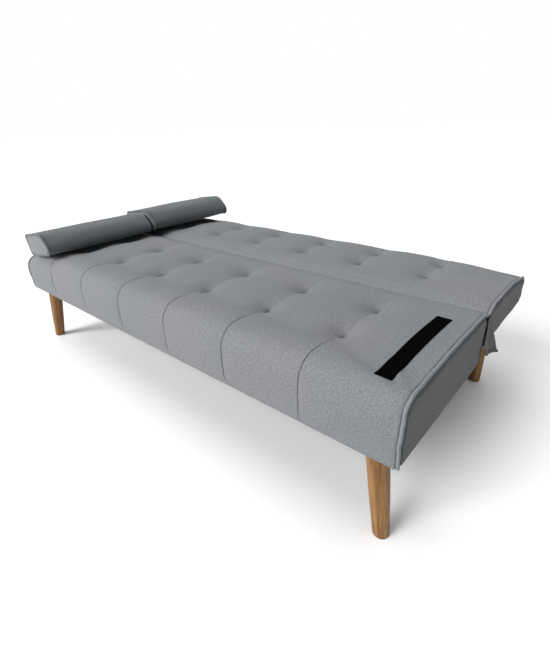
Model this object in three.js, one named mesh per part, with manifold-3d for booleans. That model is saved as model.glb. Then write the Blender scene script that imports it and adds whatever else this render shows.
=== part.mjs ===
// A click-clack futon sofa bed, lying flat as a bed.
// Millimetres, +X along the length, +Y from the front to the rear, +Z up. The origin is on the floor,
// under the middle of the bed. Inside the source the depth runs from 0 at the front face, and the
// whole group is moved forward by half the depth at the end.
import * as THREE from "three";
import { mergeVertices } from "three/addons/utils/BufferGeometryUtils.js";
import Module from "manifold-3d";

const wasm = await Module();
wasm.setup();

// ---------------------------------------------------------------- driving dimensions
const LENGTH = 1800; // over the two side covers
const DEPTH = 970; // front face of the seat to the far end of the back, lying flat
const SEAT_DEPTH = 524; // front face to rear face of the seat half
const HINGE_GAP = 12; // between the seat half and the back half
const SEAT_BOTTOM = 250; // underside of the seat half above the floor, which the legs fill
const SEAT_THICK = 175; // underside of the seat half to the top of both halves
const PIVOT_DROP = 35; // hinge axis below the cushion top
const RECLINE = 75; // how far the back swings up, degrees

const CLEAR = 0.3; // gap between pieces that touch
const SIDE_COVER = 10.7; // thickness of the padded side covers
const WALL = 12; // foam and fabric round the front and rear of the timber
const SIDE_WALL = 9; // foam and fabric outside the hinge plates
const PIPING_R = 4.3;
const FRONT_ROUND = 36; // radius of the seat's front edge
const REAR_ROUND = 26; // radius of the back's far edge
const REAR_SLANT = 24; // the far face leans out by this much at the bottom
const SHOULDER = 49; // width of the sloping shoulders beside the hinge

const SPRING_COUNT = 5;
const SPRING_WIRE_R = 2;
const SPRING_SWING = 22; // half the width of a zigzag spring
const SPRING_PITCH = 52;
const SPRING_SAG = 25; // room for the springs to give above the centre rail
const STRAP_COUNT = 3;
const STRAP_WIDTH = 50;
const STRAP_THICK = 1.6;

const RAIL_THICK = 22; // front, hinge and top boards
const CENTRE_RAIL_THICK = 32;
const BASE_RAIL_HEIGHT = 45;
const BASE_RAIL_WIDTH = 32;
const BASE_REAR_INSET = 80; // far face of the back to the rear ends of the long base rails
const CROSS_RAIL_WIDTH = 40;
const SEAT_REAR_RAIL_WIDTH = 28;
const BACK_RAIL_HEIGHT = 42;
const BACK_LIFT = 3; // the back half lies this far above the base rails
const COVER_THICK = 1.2; // woven covers under the halves

const PLATE = 3; // hinge plate thickness
const EYE_R = 12; // hinge eye
const PIN_R = 5;
const RATCHET_R = 60;
const NOTCHES = [0, RECLINE / 2, RECLINE]; // flat, lounging and upright
const PAWL_RELEASE = 15; // turn of the pawl from locked to clear, degrees
const PAWL_REACH = 44; // the pawl's pin behind the hinge axis
const PAWL_PIN_R = 4;
const BACK_PLATE_REACH = 150; // the back plate behind the hinge axis
const SEAT_PLATE_REACH = 120; // the seat plate in front of the hinge axis
const PIN_HEAD = 3;
const PIN_HEAD_R = 9;

const LEG_TOP_R = 28.5;
const LEG_FOOT_R = 20.5;
const FOOT_ROUND = 3;
const LEG_PLATE = 76;
const LEG_PLATE_THICK = 2.4;
const LEG_BOLT_R = 4;
const BOLT_CLEAR = 0.4; // round a leg bolt in its holes
const LEG_BOLT_REACH = 26; // into the leg and into the rail
const LEG_TOP_INSET = 78; // end of the bed to the centre of a leg's top
const FRONT_LEG_Y = 62; // centre of a front leg's top
const REAR_LEG_INSET = 125; // far face to the centre of a rear leg's top
const FRONT_SPLAY = [44, 22]; // how far a foot stands out past its top, endways and forwards
const REAR_SPLAY = [-10, 12]; // endways and backwards

const TAPE_WIDTH = 40;
const TAPE_LENGTH = 345;
const TAPE_THICK = 1.5;
const TAPE_FRONT = 55; // front face of the seat to the tape
const TAPE_INSET = { left: 118, right: 60 }; // end of the bed to the tape, further in under the pillow

const PILLOW_LIFT = 3.5; // pillow underside above the cushion top
const PILLOW_HEIGHT = 108;
const PILLOW_WIDTH = 208;
const PILLOW_END_GAP = 17; // between the two pillows
const PILLOW_OVERHANG = 34; // the rear pillow reaches this far over the hinge gap
const PILLOW_INSET = 83; // end of the bed to the flat side of the pillows
const PILLOW_REAR_INSET = 8; // far face of the back to the rear pillow's end
const PILLOW_STAGGER = 14; // the rear pillow lies this much nearer to the end of the bed

// ---------------------------------------------------------------- places worked out from them
const HALF = LENGTH / 2;
const CUSHION_X = HALF - SIDE_COVER - CLEAR; // ends of the cushions
const CAVITY_X = CUSHION_X - SIDE_WALL; // ends of the space inside them
const CUSHION_TOP = SEAT_BOTTOM + SEAT_THICK;
const PIVOT_Y = SEAT_DEPTH + HINGE_GAP / 2;
const PIVOT_Z = CUSHION_TOP - PIVOT_DROP;
const BACK_FRONT = SEAT_DEPTH + HINGE_GAP;
const SHOULDER_Z = PIVOT_Z - 2;
const BASE_Z = SEAT_BOTTOM + 2; // underside of the timber
const BASE_TOP = BASE_Z + BASE_RAIL_HEIGHT;
const BACK_BOTTOM = BASE_TOP + BACK_LIFT;
const SEAT_RAIL_TOP = PIVOT_Z - RATCHET_R - 8; // the ratchet swings over the seat's box frame
const SEAT_INNER = [WALL + 9.7, SEAT_DEPTH - WALL - 0.7]; // the seat's cavity, front to rear
const BACK_INNER = [BACK_FRONT + WALL + 0.3, DEPTH - REAR_SLANT - WALL];
const SEAT_CAVITY_TOP = SEAT_RAIL_TOP + 10;
const BACK_RAIL_Z = BACK_BOTTOM + 4;
const BACK_RAIL_TOP = BACK_RAIL_Z + BACK_RAIL_HEIGHT;
const BACK_CAVITY_TOP = BACK_RAIL_TOP + 6;

// Hinge layers from the inside out: the back plate and the pawl, then the seat plate.
const SEAT_PLATE_X = CAVITY_X - 8.4;
const BACK_PLATE_X = SEAT_PLATE_X - PLATE - CLEAR;
const SEAT_END_OUT = SEAT_PLATE_X - CLEAR;
const BACK_END_OUT = BACK_PLATE_X - CLEAR;
const LEG_TOP_X = HALF - LEG_TOP_INSET;
const SIDE_RAIL_X = [LEG_TOP_X - BASE_RAIL_WIDTH / 2, LEG_TOP_X + BASE_RAIL_WIDTH / 2];
const END_RAIL_IN = SIDE_RAIL_X[1] + CLEAR;
const SLOT_X = [BACK_PLATE_X - CLEAR - PIN_HEAD - 1, CAVITY_X];
const SLOT_TOP = PIVOT_Z + EYE_R + 3;
const PAWL_PIVOT = [PAWL_REACH, -RATCHET_R - 12]; // from the hinge axis
const FRONT_LEG = {
  top: [LEG_TOP_X, FRONT_LEG_Y],
  foot: [LEG_TOP_X + FRONT_SPLAY[0], FRONT_LEG_Y - FRONT_SPLAY[1]],
};
const REAR_LEG = {
  top: [LEG_TOP_X, DEPTH - REAR_LEG_INSET],
  foot: [LEG_TOP_X + REAR_SPLAY[0], DEPTH - REAR_LEG_INSET + REAR_SPLAY[1]],
};

// ---------------------------------------------------------------- shape helpers
const solid = (geometry) => {
  const bare = geometry.clone();
  bare.deleteAttribute("normal");
  bare.deleteAttribute("uv");
  const merged = mergeVertices(bare, 1e-4);
  const triVerts = new Uint32Array(merged.index.array);
  const vertProperties = new Float32Array(merged.attributes.position.array);
  return new wasm.Manifold(new wasm.Mesh({ numProp: 3, vertProperties, triVerts }));
};

const surface = (manifold) => {
  const mesh = manifold.getMesh();
  const geometry = new THREE.BufferGeometry();
  geometry.setAttribute("position", new THREE.BufferAttribute(new Float32Array(mesh.vertProperties), 3));
  geometry.setIndex(new THREE.BufferAttribute(new Uint32Array(mesh.triVerts), 1));
  const flat = geometry.toNonIndexed();
  flat.computeVertexNormals();
  return flat;
};

const cut = (body, ...tools) => surface(tools.reduce((a, b) => a.subtract(solid(b)), solid(body)));
const join = (...parts) => surface(parts.map(solid).reduce((a, b) => a.add(b)));

// A box between two corners.
const block = ([x0, x1], [y0, y1], [z0, z1]) =>
  new THREE.BoxGeometry(x1 - x0, y1 - y0, z1 - z0).translate((x0 + x1) / 2, (y0 + y1) / 2, (z0 + z1) / 2);

// The points of an outline whose corners [u, v, r] are rounded with arcs of radius r.
function roundedOutline(corners, closed = true, steps = 5) {
  const points = [];
  corners.forEach(([u, v, r = 0], i) => {
    const here = new THREE.Vector2(u, v);
    const open = !closed && (i === 0 || i === corners.length - 1);
    if (!r || open) {
      points.push(here);
      return;
    }
    const before = corners[(i + corners.length - 1) % corners.length];
    const after = corners[(i + 1) % corners.length];
    const a = new THREE.Vector2(before[0], before[1]).sub(here).normalize();
    const b = new THREE.Vector2(after[0], after[1]).sub(here).normalize();
    const half = Math.acos(THREE.MathUtils.clamp(a.dot(b), -1, 1)) / 2;
    const centre = a.clone().add(b).normalize().multiplyScalar(r / Math.sin(half)).add(here);
    const start = a.multiplyScalar(r / Math.tan(half)).add(here).sub(centre);
    const end = b.multiplyScalar(r / Math.tan(half)).add(here).sub(centre);
    const turn = Math.atan2(start.cross(end), start.dot(end));
    for (let k = 0; k <= steps; k++) {
      points.push(start.clone().rotateAround(new THREE.Vector2(), (turn * k) / steps).add(centre));
    }
  });
  return points;
}

// A side outline in (y, z) carried along X.
const ALONG_X = new THREE.Matrix4().makeBasis(
  new THREE.Vector3(0, 1, 0),
  new THREE.Vector3(0, 0, 1),
  new THREE.Vector3(1, 0, 0),
);
const slab = (points, [x0, x1]) =>
  new THREE.ExtrudeGeometry(new THREE.Shape(points), { depth: x1 - x0, bevelEnabled: false })
    .applyMatrix4(ALONG_X)
    .translate(x0, 0, 0);

// A round bar from a to b.
function bar(a, b, r, sides = 20) {
  const from = new THREE.Vector3(...a);
  const run = new THREE.Vector3(...b).sub(from);
  const turn = new THREE.Quaternion().setFromUnitVectors(
    new THREE.Vector3(0, 1, 0),
    run.clone().normalize(),
  );
  const middle = from.add(run.clone().multiplyScalar(0.5));
  return new THREE.CylinderGeometry(r, r, run.length(), sides).applyQuaternion(turn).translate(...middle);
}

// A round cord or wire along a list of points.
function wire(points, r, steps, sides = 8) {
  const section = new THREE.Shape();
  section.absarc(0, 0, r, 0, 2 * Math.PI, false);
  const path = new THREE.CatmullRomCurve3(points);
  return new THREE.ExtrudeGeometry(section, { steps, curveSegments: sides / 2, extrudePath: path });
}

// The two x limits of a layer on the right (+1) or the left (-1) of the bed.
const layer = (side, inner, outer) => (side > 0 ? [inner, outer] : [-outer, -inner]);

const wood = { color: 0xc9965a, roughness: 0.5, metalness: 0 };
const pine = { color: 0xd8bf94, roughness: 0.75, metalness: 0 };
const steel = { color: 0x8d9094, roughness: 0.4, metalness: 0.9 };
const zinc = { color: 0xb4b7ba, roughness: 0.35, metalness: 0.9 };
const linen = { color: 0x84898b, roughness: 0.9, metalness: 0 };
const pillowLinen = { color: 0x5a6062, roughness: 0.9, metalness: 0 };
const hookTape = { color: 0x0c0c0d, roughness: 0.95, metalness: 0 };
const webbing = { color: 0x3a3a3c, roughness: 0.9, metalness: 0 };
const feltBlack = { color: 0x1b1b1c, roughness: 0.95, metalness: 0 };

const bed = new THREE.Group();
function add(name, geometry, look) {
  const mesh = new THREE.Mesh(geometry, new THREE.MeshStandardMaterial(look));
  mesh.name = name;
  bed.add(mesh);
}
const sides = [
  ["left", -1],
  ["right", 1],
];

// ---------------------------------------------------------------- side outlines of the two halves
// inset moves the front, top, shoulder and far edges in, as a side cover or a line of piping needs.
const SLOPE = Math.atan2(CUSHION_TOP - SHOULDER_Z, SHOULDER);
const shoulderIn = (inset) => inset * Math.tan(SLOPE / 2);
const shoulderDown = (inset) => SHOULDER_Z - inset / Math.cos(SLOPE);
const seatEdge = (inset) => [
  [inset, SEAT_BOTTOM],
  [inset, CUSHION_TOP - inset, FRONT_ROUND - inset],
  [SEAT_DEPTH - SHOULDER - shoulderIn(inset), CUSHION_TOP - inset, 30],
  [SEAT_DEPTH, shoulderDown(inset)],
];
const backEdge = (inset) => [
  [BACK_FRONT, shoulderDown(inset)],
  [BACK_FRONT + SHOULDER + shoulderIn(inset), CUSHION_TOP - inset, 30],
  [DEPTH - REAR_SLANT - inset, CUSHION_TOP - inset, REAR_ROUND - inset],
  [DEPTH - inset, BACK_BOTTOM + 10],
  [DEPTH - inset - 14, BACK_BOTTOM],
];
const seatOutline = (inset) => roundedOutline([...seatEdge(inset), [SEAT_DEPTH, SEAT_BOTTOM]]).reverse();
const backOutline = (inset) => roundedOutline([...backEdge(inset), [BACK_FRONT, BACK_BOTTOM]]).reverse();

// ---------------------------------------------------------------- timber of the fixed half
function seatFrame() {
  const frontY = [SEAT_INNER[0] + CLEAR, SEAT_INNER[0] + CLEAR + RAIL_THICK];
  const behindFront = frontY[1] + CLEAR;
  const rearY = [SEAT_INNER[1] - CLEAR - SEAT_REAR_RAIL_WIDTH, SEAT_INNER[1] - CLEAR];
  const inner = SIDE_RAIL_X[0] - CLEAR;
  const high = [BASE_Z, SEAT_RAIL_TOP];
  add("seat_front_rail", block([-SEAT_END_OUT, SEAT_END_OUT], frontY, high), pine);
  add("seat_rear_rail", block([-inner, inner], rearY, high), pine);
  for (const [name, side] of sides) {
    const endX = layer(side, END_RAIL_IN, SEAT_END_OUT);
    add(`seat_end_rail_${name}`, block(endX, [behindFront, rearY[1]], high), pine);
    const railX = layer(side, ...SIDE_RAIL_X);
    const rail = block(railX, [behindFront, DEPTH - BASE_REAR_INSET], [BASE_Z, BASE_TOP]);
    const boltHoles = [FRONT_LEG, REAR_LEG].map((leg) => legBolt(leg, side, LEG_BOLT_R + BOLT_CLEAR, 1));
    add(`base_side_rail_${name}`, cut(rail, ...boltHoles), pine);
  }
  const hingeY = [BACK_FRONT, BACK_FRONT + CROSS_RAIL_WIDTH];
  const lastY = [REAR_LEG.top[1] - CROSS_RAIL_WIDTH / 2, REAR_LEG.top[1] + CROSS_RAIL_WIDTH / 2];
  const low = [BASE_Z, BASE_TOP];
  const centreX = [-CENTRE_RAIL_THICK / 2, CENTRE_RAIL_THICK / 2];
  const underSprings = [BASE_Z, SEAT_RAIL_TOP - SPRING_SAG];
  add("seat_centre_rail", block(centreX, [behindFront, rearY[0] - CLEAR], underSprings), pine);
  add("base_hinge_rail", block([-inner, inner], hingeY, low), pine);
  add("base_rear_rail", block([-inner, inner], lastY, low), pine);
}

// Zigzag springs stretched over the seat frame from the front rail to the rear rail.
function seatSprings() {
  const start = SEAT_INNER[0] + 8;
  const end = SEAT_INNER[1] - 8;
  const straight = 26;
  const z = SEAT_RAIL_TOP + CLEAR + SPRING_WIRE_R;
  const loops = Math.round((end - start - 2 * straight) / SPRING_PITCH);
  for (let i = 0; i < SPRING_COUNT; i++) {
    const x = ((i + 0.5) / SPRING_COUNT - 0.5) * 2 * (SIDE_RAIL_X[0] - 20);
    const points = [new THREE.Vector3(x, start, z)];
    const quarters = loops * 4;
    for (let k = 0; k <= quarters; k++) {
      const y = start + straight + ((end - start - 2 * straight) * k) / quarters;
      points.push(new THREE.Vector3(x + SPRING_SWING * Math.sin((k * Math.PI) / 2), y, z));
    }
    points.push(new THREE.Vector3(x, end, z));
    add(`seat_spring_${i + 1}`, wire(points, SPRING_WIRE_R, loops * 10, 6), steel);
  }
}

// ---------------------------------------------------------------- legs
const legTopZ = SEAT_BOTTOM - 0.7 - CLEAR;

// The hanger bolt runs along the splayed leg, through the plate and up into the rail.
function legBolt(leg, side, r, extra = 0) {
  const lean = [0, 1].map((k) => (leg.top[k] - leg.foot[k]) / legTopZ);
  const at = (z) => [side * (leg.foot[0] + lean[0] * z), leg.foot[1] + lean[1] * z, z];
  return bar(at(legTopZ - LEG_BOLT_REACH - extra), at(legTopZ + LEG_BOLT_REACH + extra), r);
}

// A round tapered leg, cut level at both ends and leaning out to its foot.
function legBody(leg, side) {
  const profile = [
    new THREE.Vector2(0, 0),
    new THREE.Vector2(LEG_FOOT_R - FOOT_ROUND, 0),
    new THREE.Vector2(LEG_FOOT_R - FOOT_ROUND * 0.3, FOOT_ROUND * 0.3),
    new THREE.Vector2(LEG_FOOT_R, FOOT_ROUND),
    new THREE.Vector2(LEG_TOP_R, legTopZ),
    new THREE.Vector2(0, legTopZ),
  ];
  const lean = [0, 1].map((k) => (leg.top[k] - leg.foot[k]) / legTopZ);
  const shear = new THREE.Matrix4().set(
    ...[1, 0, side * lean[0], side * leg.foot[0]],
    ...[0, 1, lean[1], leg.foot[1]],
    ...[0, 0, 1, 0],
    ...[0, 0, 0, 1],
  );
  const upright = new THREE.LatheGeometry(profile, 28).rotateX(Math.PI / 2);
  return cut(upright.applyMatrix4(shear), legBolt(leg, side, LEG_BOLT_R + BOLT_CLEAR, 1));
}

function legs() {
  for (const [end, leg] of [
    ["front", FRONT_LEG],
    ["rear", REAR_LEG],
  ]) {
    for (const [name, side] of sides) {
      const x = side * leg.top[0];
      const h = LEG_PLATE / 2;
      const z = [SEAT_BOTTOM - 0.7, SEAT_BOTTOM - 0.7 + LEG_PLATE_THICK];
      const plate = block([x - h, x + h], [leg.top[1] - h, leg.top[1] + h], z);
      add(`leg_${end}_${name}`, legBody(leg, side), wood);
      add(`leg_plate_${end}_${name}`, cut(plate, legBolt(leg, side, LEG_BOLT_R + BOLT_CLEAR)), zinc);
      add(`leg_bolt_${end}_${name}`, legBolt(leg, side, LEG_BOLT_R), zinc);
    }
  }
}

// ---------------------------------------------------------------- upholstery of the seat half
const slotsIn = (y) =>
  sides.map(([, side]) => block(layer(side, ...SLOT_X), y, [SEAT_BOTTOM - 1, SLOT_TOP]));

function seatUpholstery() {
  const hollow = block([-CAVITY_X, CAVITY_X], SEAT_INNER, [SEAT_BOTTOM - 1, SEAT_CAVITY_TOP]);
  const rearWall = [SEAT_INNER[1] - 1, SEAT_DEPTH + 1];
  const railHoles = sides.map(([, side]) =>
    block(
      layer(side, SIDE_RAIL_X[0] - 2 * CLEAR, SIDE_RAIL_X[1] + 2 * CLEAR),
      rearWall,
      [SEAT_BOTTOM - 1, BASE_TOP + 2 * CLEAR],
    ),
  );
  const slots = slotsIn([PIVOT_Y - RATCHET_R - 14, SEAT_DEPTH + 1]);
  const cushion = slab(seatOutline(0), [-CUSHION_X, CUSHION_X]);
  add("seat_cushion", cut(cushion, hollow, ...railHoles, ...slots), linen);

  const reach = CAVITY_X - CLEAR;
  const clip = [FRONT_LEG.top[0] - LEG_PLATE / 2 - 4, FRONT_LEG.top[1] + LEG_PLATE / 2 + 4];
  const sheetY = [SEAT_INNER[0] + CLEAR, SEAT_INNER[1] - CLEAR];
  const sheet = block([-reach, reach], sheetY, [BASE_Z - CLEAR - COVER_THICK, BASE_Z - CLEAR]);
  const corners = sides.map(([, side]) =>
    block(layer(side, clip[0], HALF), [-1, clip[1]], [SEAT_BOTTOM - 2, BASE_Z]),
  );
  add("seat_dust_cover", cut(sheet, ...corners), feltBlack);

  const pipeInset = PIPING_R + 0.4;
  const coverInset = 2 * PIPING_R + 1;
  const pipeX = CUSHION_X + PIPING_R + 0.7;
  const pipePath = roundedOutline(seatEdge(pipeInset), false, 6);
  for (const [name, side] of sides) {
    const x = layer(side, HALF - SIDE_COVER, HALF);
    add(`seat_side_cover_${name}`, slab(seatOutline(coverInset), x), linen);
    add(`seat_piping_${name}`, pipe(pipePath, side * pipeX), linen);
    const tapeEnd = HALF - TAPE_INSET[name];
    const tapeX = layer(side, tapeEnd - TAPE_WIDTH, tapeEnd);
    const tapeZ = [CUSHION_TOP + CLEAR, CUSHION_TOP + CLEAR + TAPE_THICK];
    add(`hook_tape_${name}`, block(tapeX, [TAPE_FRONT, TAPE_FRONT + TAPE_LENGTH], tapeZ), hookTape);
  }
}

// Piping along a side outline, cut short of both ends of the line.
function pipe(outline, x) {
  const run = outline.map((p) => new THREE.Vector3(x, p.x, p.y));
  const short = 6;
  const pull = (end, next) => end.clone().add(next.clone().sub(end).setLength(short));
  const last = run.length - 1;
  const points = [pull(run[0], run[1]), ...run.slice(1, last), pull(run[last], run[last - 1])];
  return wire(points, PIPING_R, 56, 8);
}

// ---------------------------------------------------------------- hinges
const disc = (y, z, r, x, steps = 28) =>
  slab(
    Array.from({ length: steps }, (_, k) => {
      const turn = (2 * Math.PI * k) / steps;
      return new THREE.Vector2(PIVOT_Y + y + r * Math.cos(turn), PIVOT_Z + z + r * Math.sin(turn));
    }),
    x,
  );
const aroundPivot = (points, x) =>
  slab(
    points.map(([y, z]) => new THREE.Vector2(PIVOT_Y + y, PIVOT_Z + z)),
    x,
  );
const rad = THREE.MathUtils.degToRad;
const turned = (points, degrees, about = [0, 0]) =>
  points.map(([y, z]) => {
    const p = new THREE.Vector2(y, z).rotateAround(new THREE.Vector2(...about), rad(degrees));
    return [p.x, p.y];
  });
const oblong = (y0, y1, z0, z1) => [
  [y0, z0],
  [y1, z0],
  [y1, z1],
  [y0, z1],
];

// The pie of the ratchet hangs below the axis, from one notch margin to the other.
function ratchetPie(x) {
  const margin = 15;
  const from = 270 - RECLINE - margin;
  const to = 270 + margin;
  const rim = Array.from({ length: 19 }, (_, k) => {
    const turn = rad(from + ((to - from) * k) / 18);
    return [RATCHET_R * Math.cos(turn), RATCHET_R * Math.sin(turn)];
  });
  return aroundPivot([[0, 4], ...rim], x);
}

function hinges() {
  const railZ = [BASE_Z + 8 - PIVOT_Z, SEAT_RAIL_TOP - 7 - PIVOT_Z];
  const backPad = BACK_RAIL_Z + 8 - PIVOT_Z;
  // A notch opens downwards, and leans the way that the pawl's tooth swings out.
  const notch = [
    [-6.5, -RATCHET_R + 9.5],
    [-12, -RATCHET_R - 6],
    [6.5, -RATCHET_R - 6],
    [6.5, -RATCHET_R + 9.5],
  ];
  const tooth = oblong(-5, 5, -RATCHET_R - 12, -RATCHET_R + 8);
  const arm = oblong(0, PAWL_PIVOT[0], PAWL_PIVOT[1] - 5, PAWL_PIVOT[1] + 5);
  for (const [name, side] of sides) {
    const backX = layer(side, BACK_PLATE_X, BACK_PLATE_X + PLATE);
    const seatX = layer(side, SEAT_PLATE_X, SEAT_PLATE_X + PLATE);
    const through = layer(side, BACK_PLATE_X - 10, SEAT_PLATE_X + PLATE + 10);
    const eyeHole = disc(0, 0, PIN_R + CLEAR, through);
    const pawlPin = layer(side, BACK_PLATE_X, SEAT_PLATE_X + 0.5);

    const seatPlate = join(
      disc(0, 0, EYE_R, seatX),
      aroundPivot(oblong(-EYE_R, EYE_R, railZ[0], 0), seatX),
      aroundPivot(oblong(-SEAT_PLATE_REACH, EYE_R, ...railZ), seatX),
      aroundPivot(oblong(-EYE_R, PAWL_PIVOT[0] + 10, PAWL_PIVOT[1] - 12, PAWL_PIVOT[1] + 12), seatX),
      disc(...PAWL_PIVOT, PAWL_PIN_R, pawlPin),
    );
    add(`hinge_seat_plate_${name}`, cut(seatPlate, eyeHole), steel);

    const backPlate = join(
      disc(0, 0, EYE_R, backX),
      ratchetPie(backX),
      aroundPivot(oblong(0, BACK_PLATE_REACH, -30, -8), backX),
      aroundPivot(oblong(BACK_PLATE_REACH - 60, BACK_PLATE_REACH, backPad, -20), backX),
    );
    const notchX = layer(side, BACK_PLATE_X - 1, BACK_PLATE_X + PLATE + 1);
    const notchTools = NOTCHES.map((open) => aroundPivot(turned(notch, -open).reverse(), notchX));
    add(`hinge_back_plate_${name}`, cut(backPlate, eyeHole, ...notchTools), steel);

    const pawl = join(
      disc(...PAWL_PIVOT, 9, backX),
      aroundPivot(turned(arm, PAWL_RELEASE, PAWL_PIVOT), backX),
      aroundPivot(turned(tooth, PAWL_RELEASE, PAWL_PIVOT), backX),
    );
    add(`recline_pawl_${name}`, cut(pawl, disc(...PAWL_PIVOT, PAWL_PIN_R + CLEAR, through)), steel);

    const headIn = BACK_PLATE_X - CLEAR;
    const headOut = SEAT_PLATE_X + PLATE + CLEAR;
    const pin = join(
      disc(0, 0, PIN_R, layer(side, headIn - PIN_HEAD, headOut + PIN_HEAD)),
      disc(0, 0, PIN_HEAD_R, layer(side, headIn - PIN_HEAD, headIn)),
      disc(0, 0, PIN_HEAD_R, layer(side, headOut, headOut + PIN_HEAD)),
    );
    add(`hinge_pin_${name}`, pin, zinc);
  }
}

// Loose cloth that closes the gap at each end of the hinge and hangs below the back half.
function gussets() {
  const front = SEAT_DEPTH + 2.5;
  const rear = BACK_FRONT - 2.5;
  const under = BACK_BOTTOM - 3;
  const outline = [
    [front, PIVOT_Z],
    [front, SEAT_BOTTOM + 6],
    [front + 14, SEAT_BOTTOM - 3],
    [front + 68, SEAT_BOTTOM],
    [front + 94, SEAT_BOTTOM + 12],
    [front + 106, under],
    [rear, under],
    [rear, PIVOT_Z],
  ].map(([y, z]) => new THREE.Vector2(y, z));
  for (const [name, side] of sides) {
    add(`hinge_gusset_${name}`, slab(outline, layer(side, CUSHION_X + 0.5, CUSHION_X + 3.5)), linen);
  }
}

// ---------------------------------------------------------------- the back half
function backFrame() {
  const low = [BACK_RAIL_Z, BACK_RAIL_TOP];
  const y = [BACK_INNER[0] + CLEAR, BACK_INNER[1] - CLEAR];
  const cross = END_RAIL_IN - CLEAR;
  const hingeRail = [y[0], y[0] + RAIL_THICK];
  const topRail = [y[1] - RAIL_THICK, y[1]];
  add("back_hinge_rail", block([-cross, cross], hingeRail, low), pine);
  add("back_top_rail", block([-cross, cross], topRail, low), pine);
  const centreX = [-CENTRE_RAIL_THICK / 2, CENTRE_RAIL_THICK / 2];
  add("back_centre_rail", block(centreX, [hingeRail[1] + CLEAR, topRail[0] - CLEAR], low), pine);
  for (const [name, side] of sides) {
    add(`back_end_rail_${name}`, block(layer(side, END_RAIL_IN, BACK_END_OUT), y, low), pine);
  }
  const z = [BACK_RAIL_TOP + CLEAR, BACK_RAIL_TOP + CLEAR + STRAP_THICK];
  for (let i = 0; i < STRAP_COUNT; i++) {
    const x = ((i + 0.5) / STRAP_COUNT - 0.5) * 2 * cross;
    add(`back_strap_${i + 1}`, block([x - STRAP_WIDTH / 2, x + STRAP_WIDTH / 2], y, z), webbing);
  }
}

function backUpholstery() {
  const hollow = block([-CAVITY_X, CAVITY_X], BACK_INNER, [BACK_BOTTOM - 1, BACK_CAVITY_TOP]);
  const slots = slotsIn([BACK_FRONT - 1, PIVOT_Y + BACK_PLATE_REACH + 16]);
  const cushion = slab(backOutline(0), [-CUSHION_X, CUSHION_X]);
  add("back_cushion", cut(cushion, hollow, ...slots), linen);

  const reach = SLOT_X[0] - 2;
  const coverY = [BACK_INNER[0] + CLEAR, BACK_INNER[1] - CLEAR];
  const coverZ = [BACK_BOTTOM + CLEAR, BACK_BOTTOM + CLEAR + COVER_THICK];
  add("back_rear_cover", block([-reach, reach], coverY, coverZ), linen);

  const pipeInset = PIPING_R + 0.4;
  const coverInset = 2 * PIPING_R + 1;
  const pipeX = CUSHION_X + PIPING_R + 0.7;
  const pipePath = roundedOutline(backEdge(pipeInset).slice(0, 4), false, 6);
  for (const [name, side] of sides) {
    const x = layer(side, HALF - SIDE_COVER, HALF);
    add(`back_side_cover_${name}`, slab(backOutline(coverInset), x), linen);
    add(`back_piping_${name}`, pipe(pipePath, side * pipeX), linen);
  }
}

// ---------------------------------------------------------------- pillows
// Two half-round bolsters, end to end across the left end. The flat face is outwards, and the
// underside rises towards the middle of the bed.
function pillow(name, [y0, y1], stagger = 0) {
  const z = CUSHION_TOP + PILLOW_LIFT;
  const outer = -HALF + PILLOW_INSET - stagger;
  const top = z + PILLOW_HEIGHT;
  const outline = roundedOutline(
    [
      [outer + 27, z, 8],
      [outer + PILLOW_WIDTH - 12, z + 26, 14],
      [outer + PILLOW_WIDTH, z + 58, 24],
      [outer + PILLOW_WIDTH - 52, top, 36],
      [outer, top - 20, 10],
    ],
    true,
    6,
  );
  const extrude = { depth: y1 - y0, bevelEnabled: false };
  const geometry = new THREE.ExtrudeGeometry(new THREE.Shape(outline), extrude);
  add(name, geometry.rotateX(Math.PI / 2).translate(0, y1, 0), pillowLinen);
}

seatFrame();
seatSprings();
legs();
seatUpholstery();
hinges();
gussets();
backFrame();
backUpholstery();
const rearPillowStart = BACK_FRONT - PILLOW_OVERHANG;
pillow("pillow_front", [2, rearPillowStart - PILLOW_END_GAP]);
pillow("pillow_rear", [rearPillowStart, DEPTH - PILLOW_REAR_INSET], PILLOW_STAGGER);

bed.position.y = -DEPTH / 2;

export default bed;
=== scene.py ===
# %% [markdown]
# # A click-clack sofa bed, lying flat
# A click-clack sofa bed is two padded halves, a seat and a back, joined by a ratchet hinge at each end.
# Laid flat, the two halves make one mattress. The frame, springs, hinges and bolts come ready from the CAD
# model. This lesson dresses them: tufted covers, piping, end panels, bolsters and turned legs.
#
# One could model each cover with sculpting, or wrap a flat sheet round a block. Here every piece is a
# surface worked out with numpy, because a formula keeps seams straight and can be changed by one number.

# %% The frame that everything is fitted to
import math
import bmesh
import bpy
import numpy as np
from mathutils import Matrix, Vector


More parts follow.
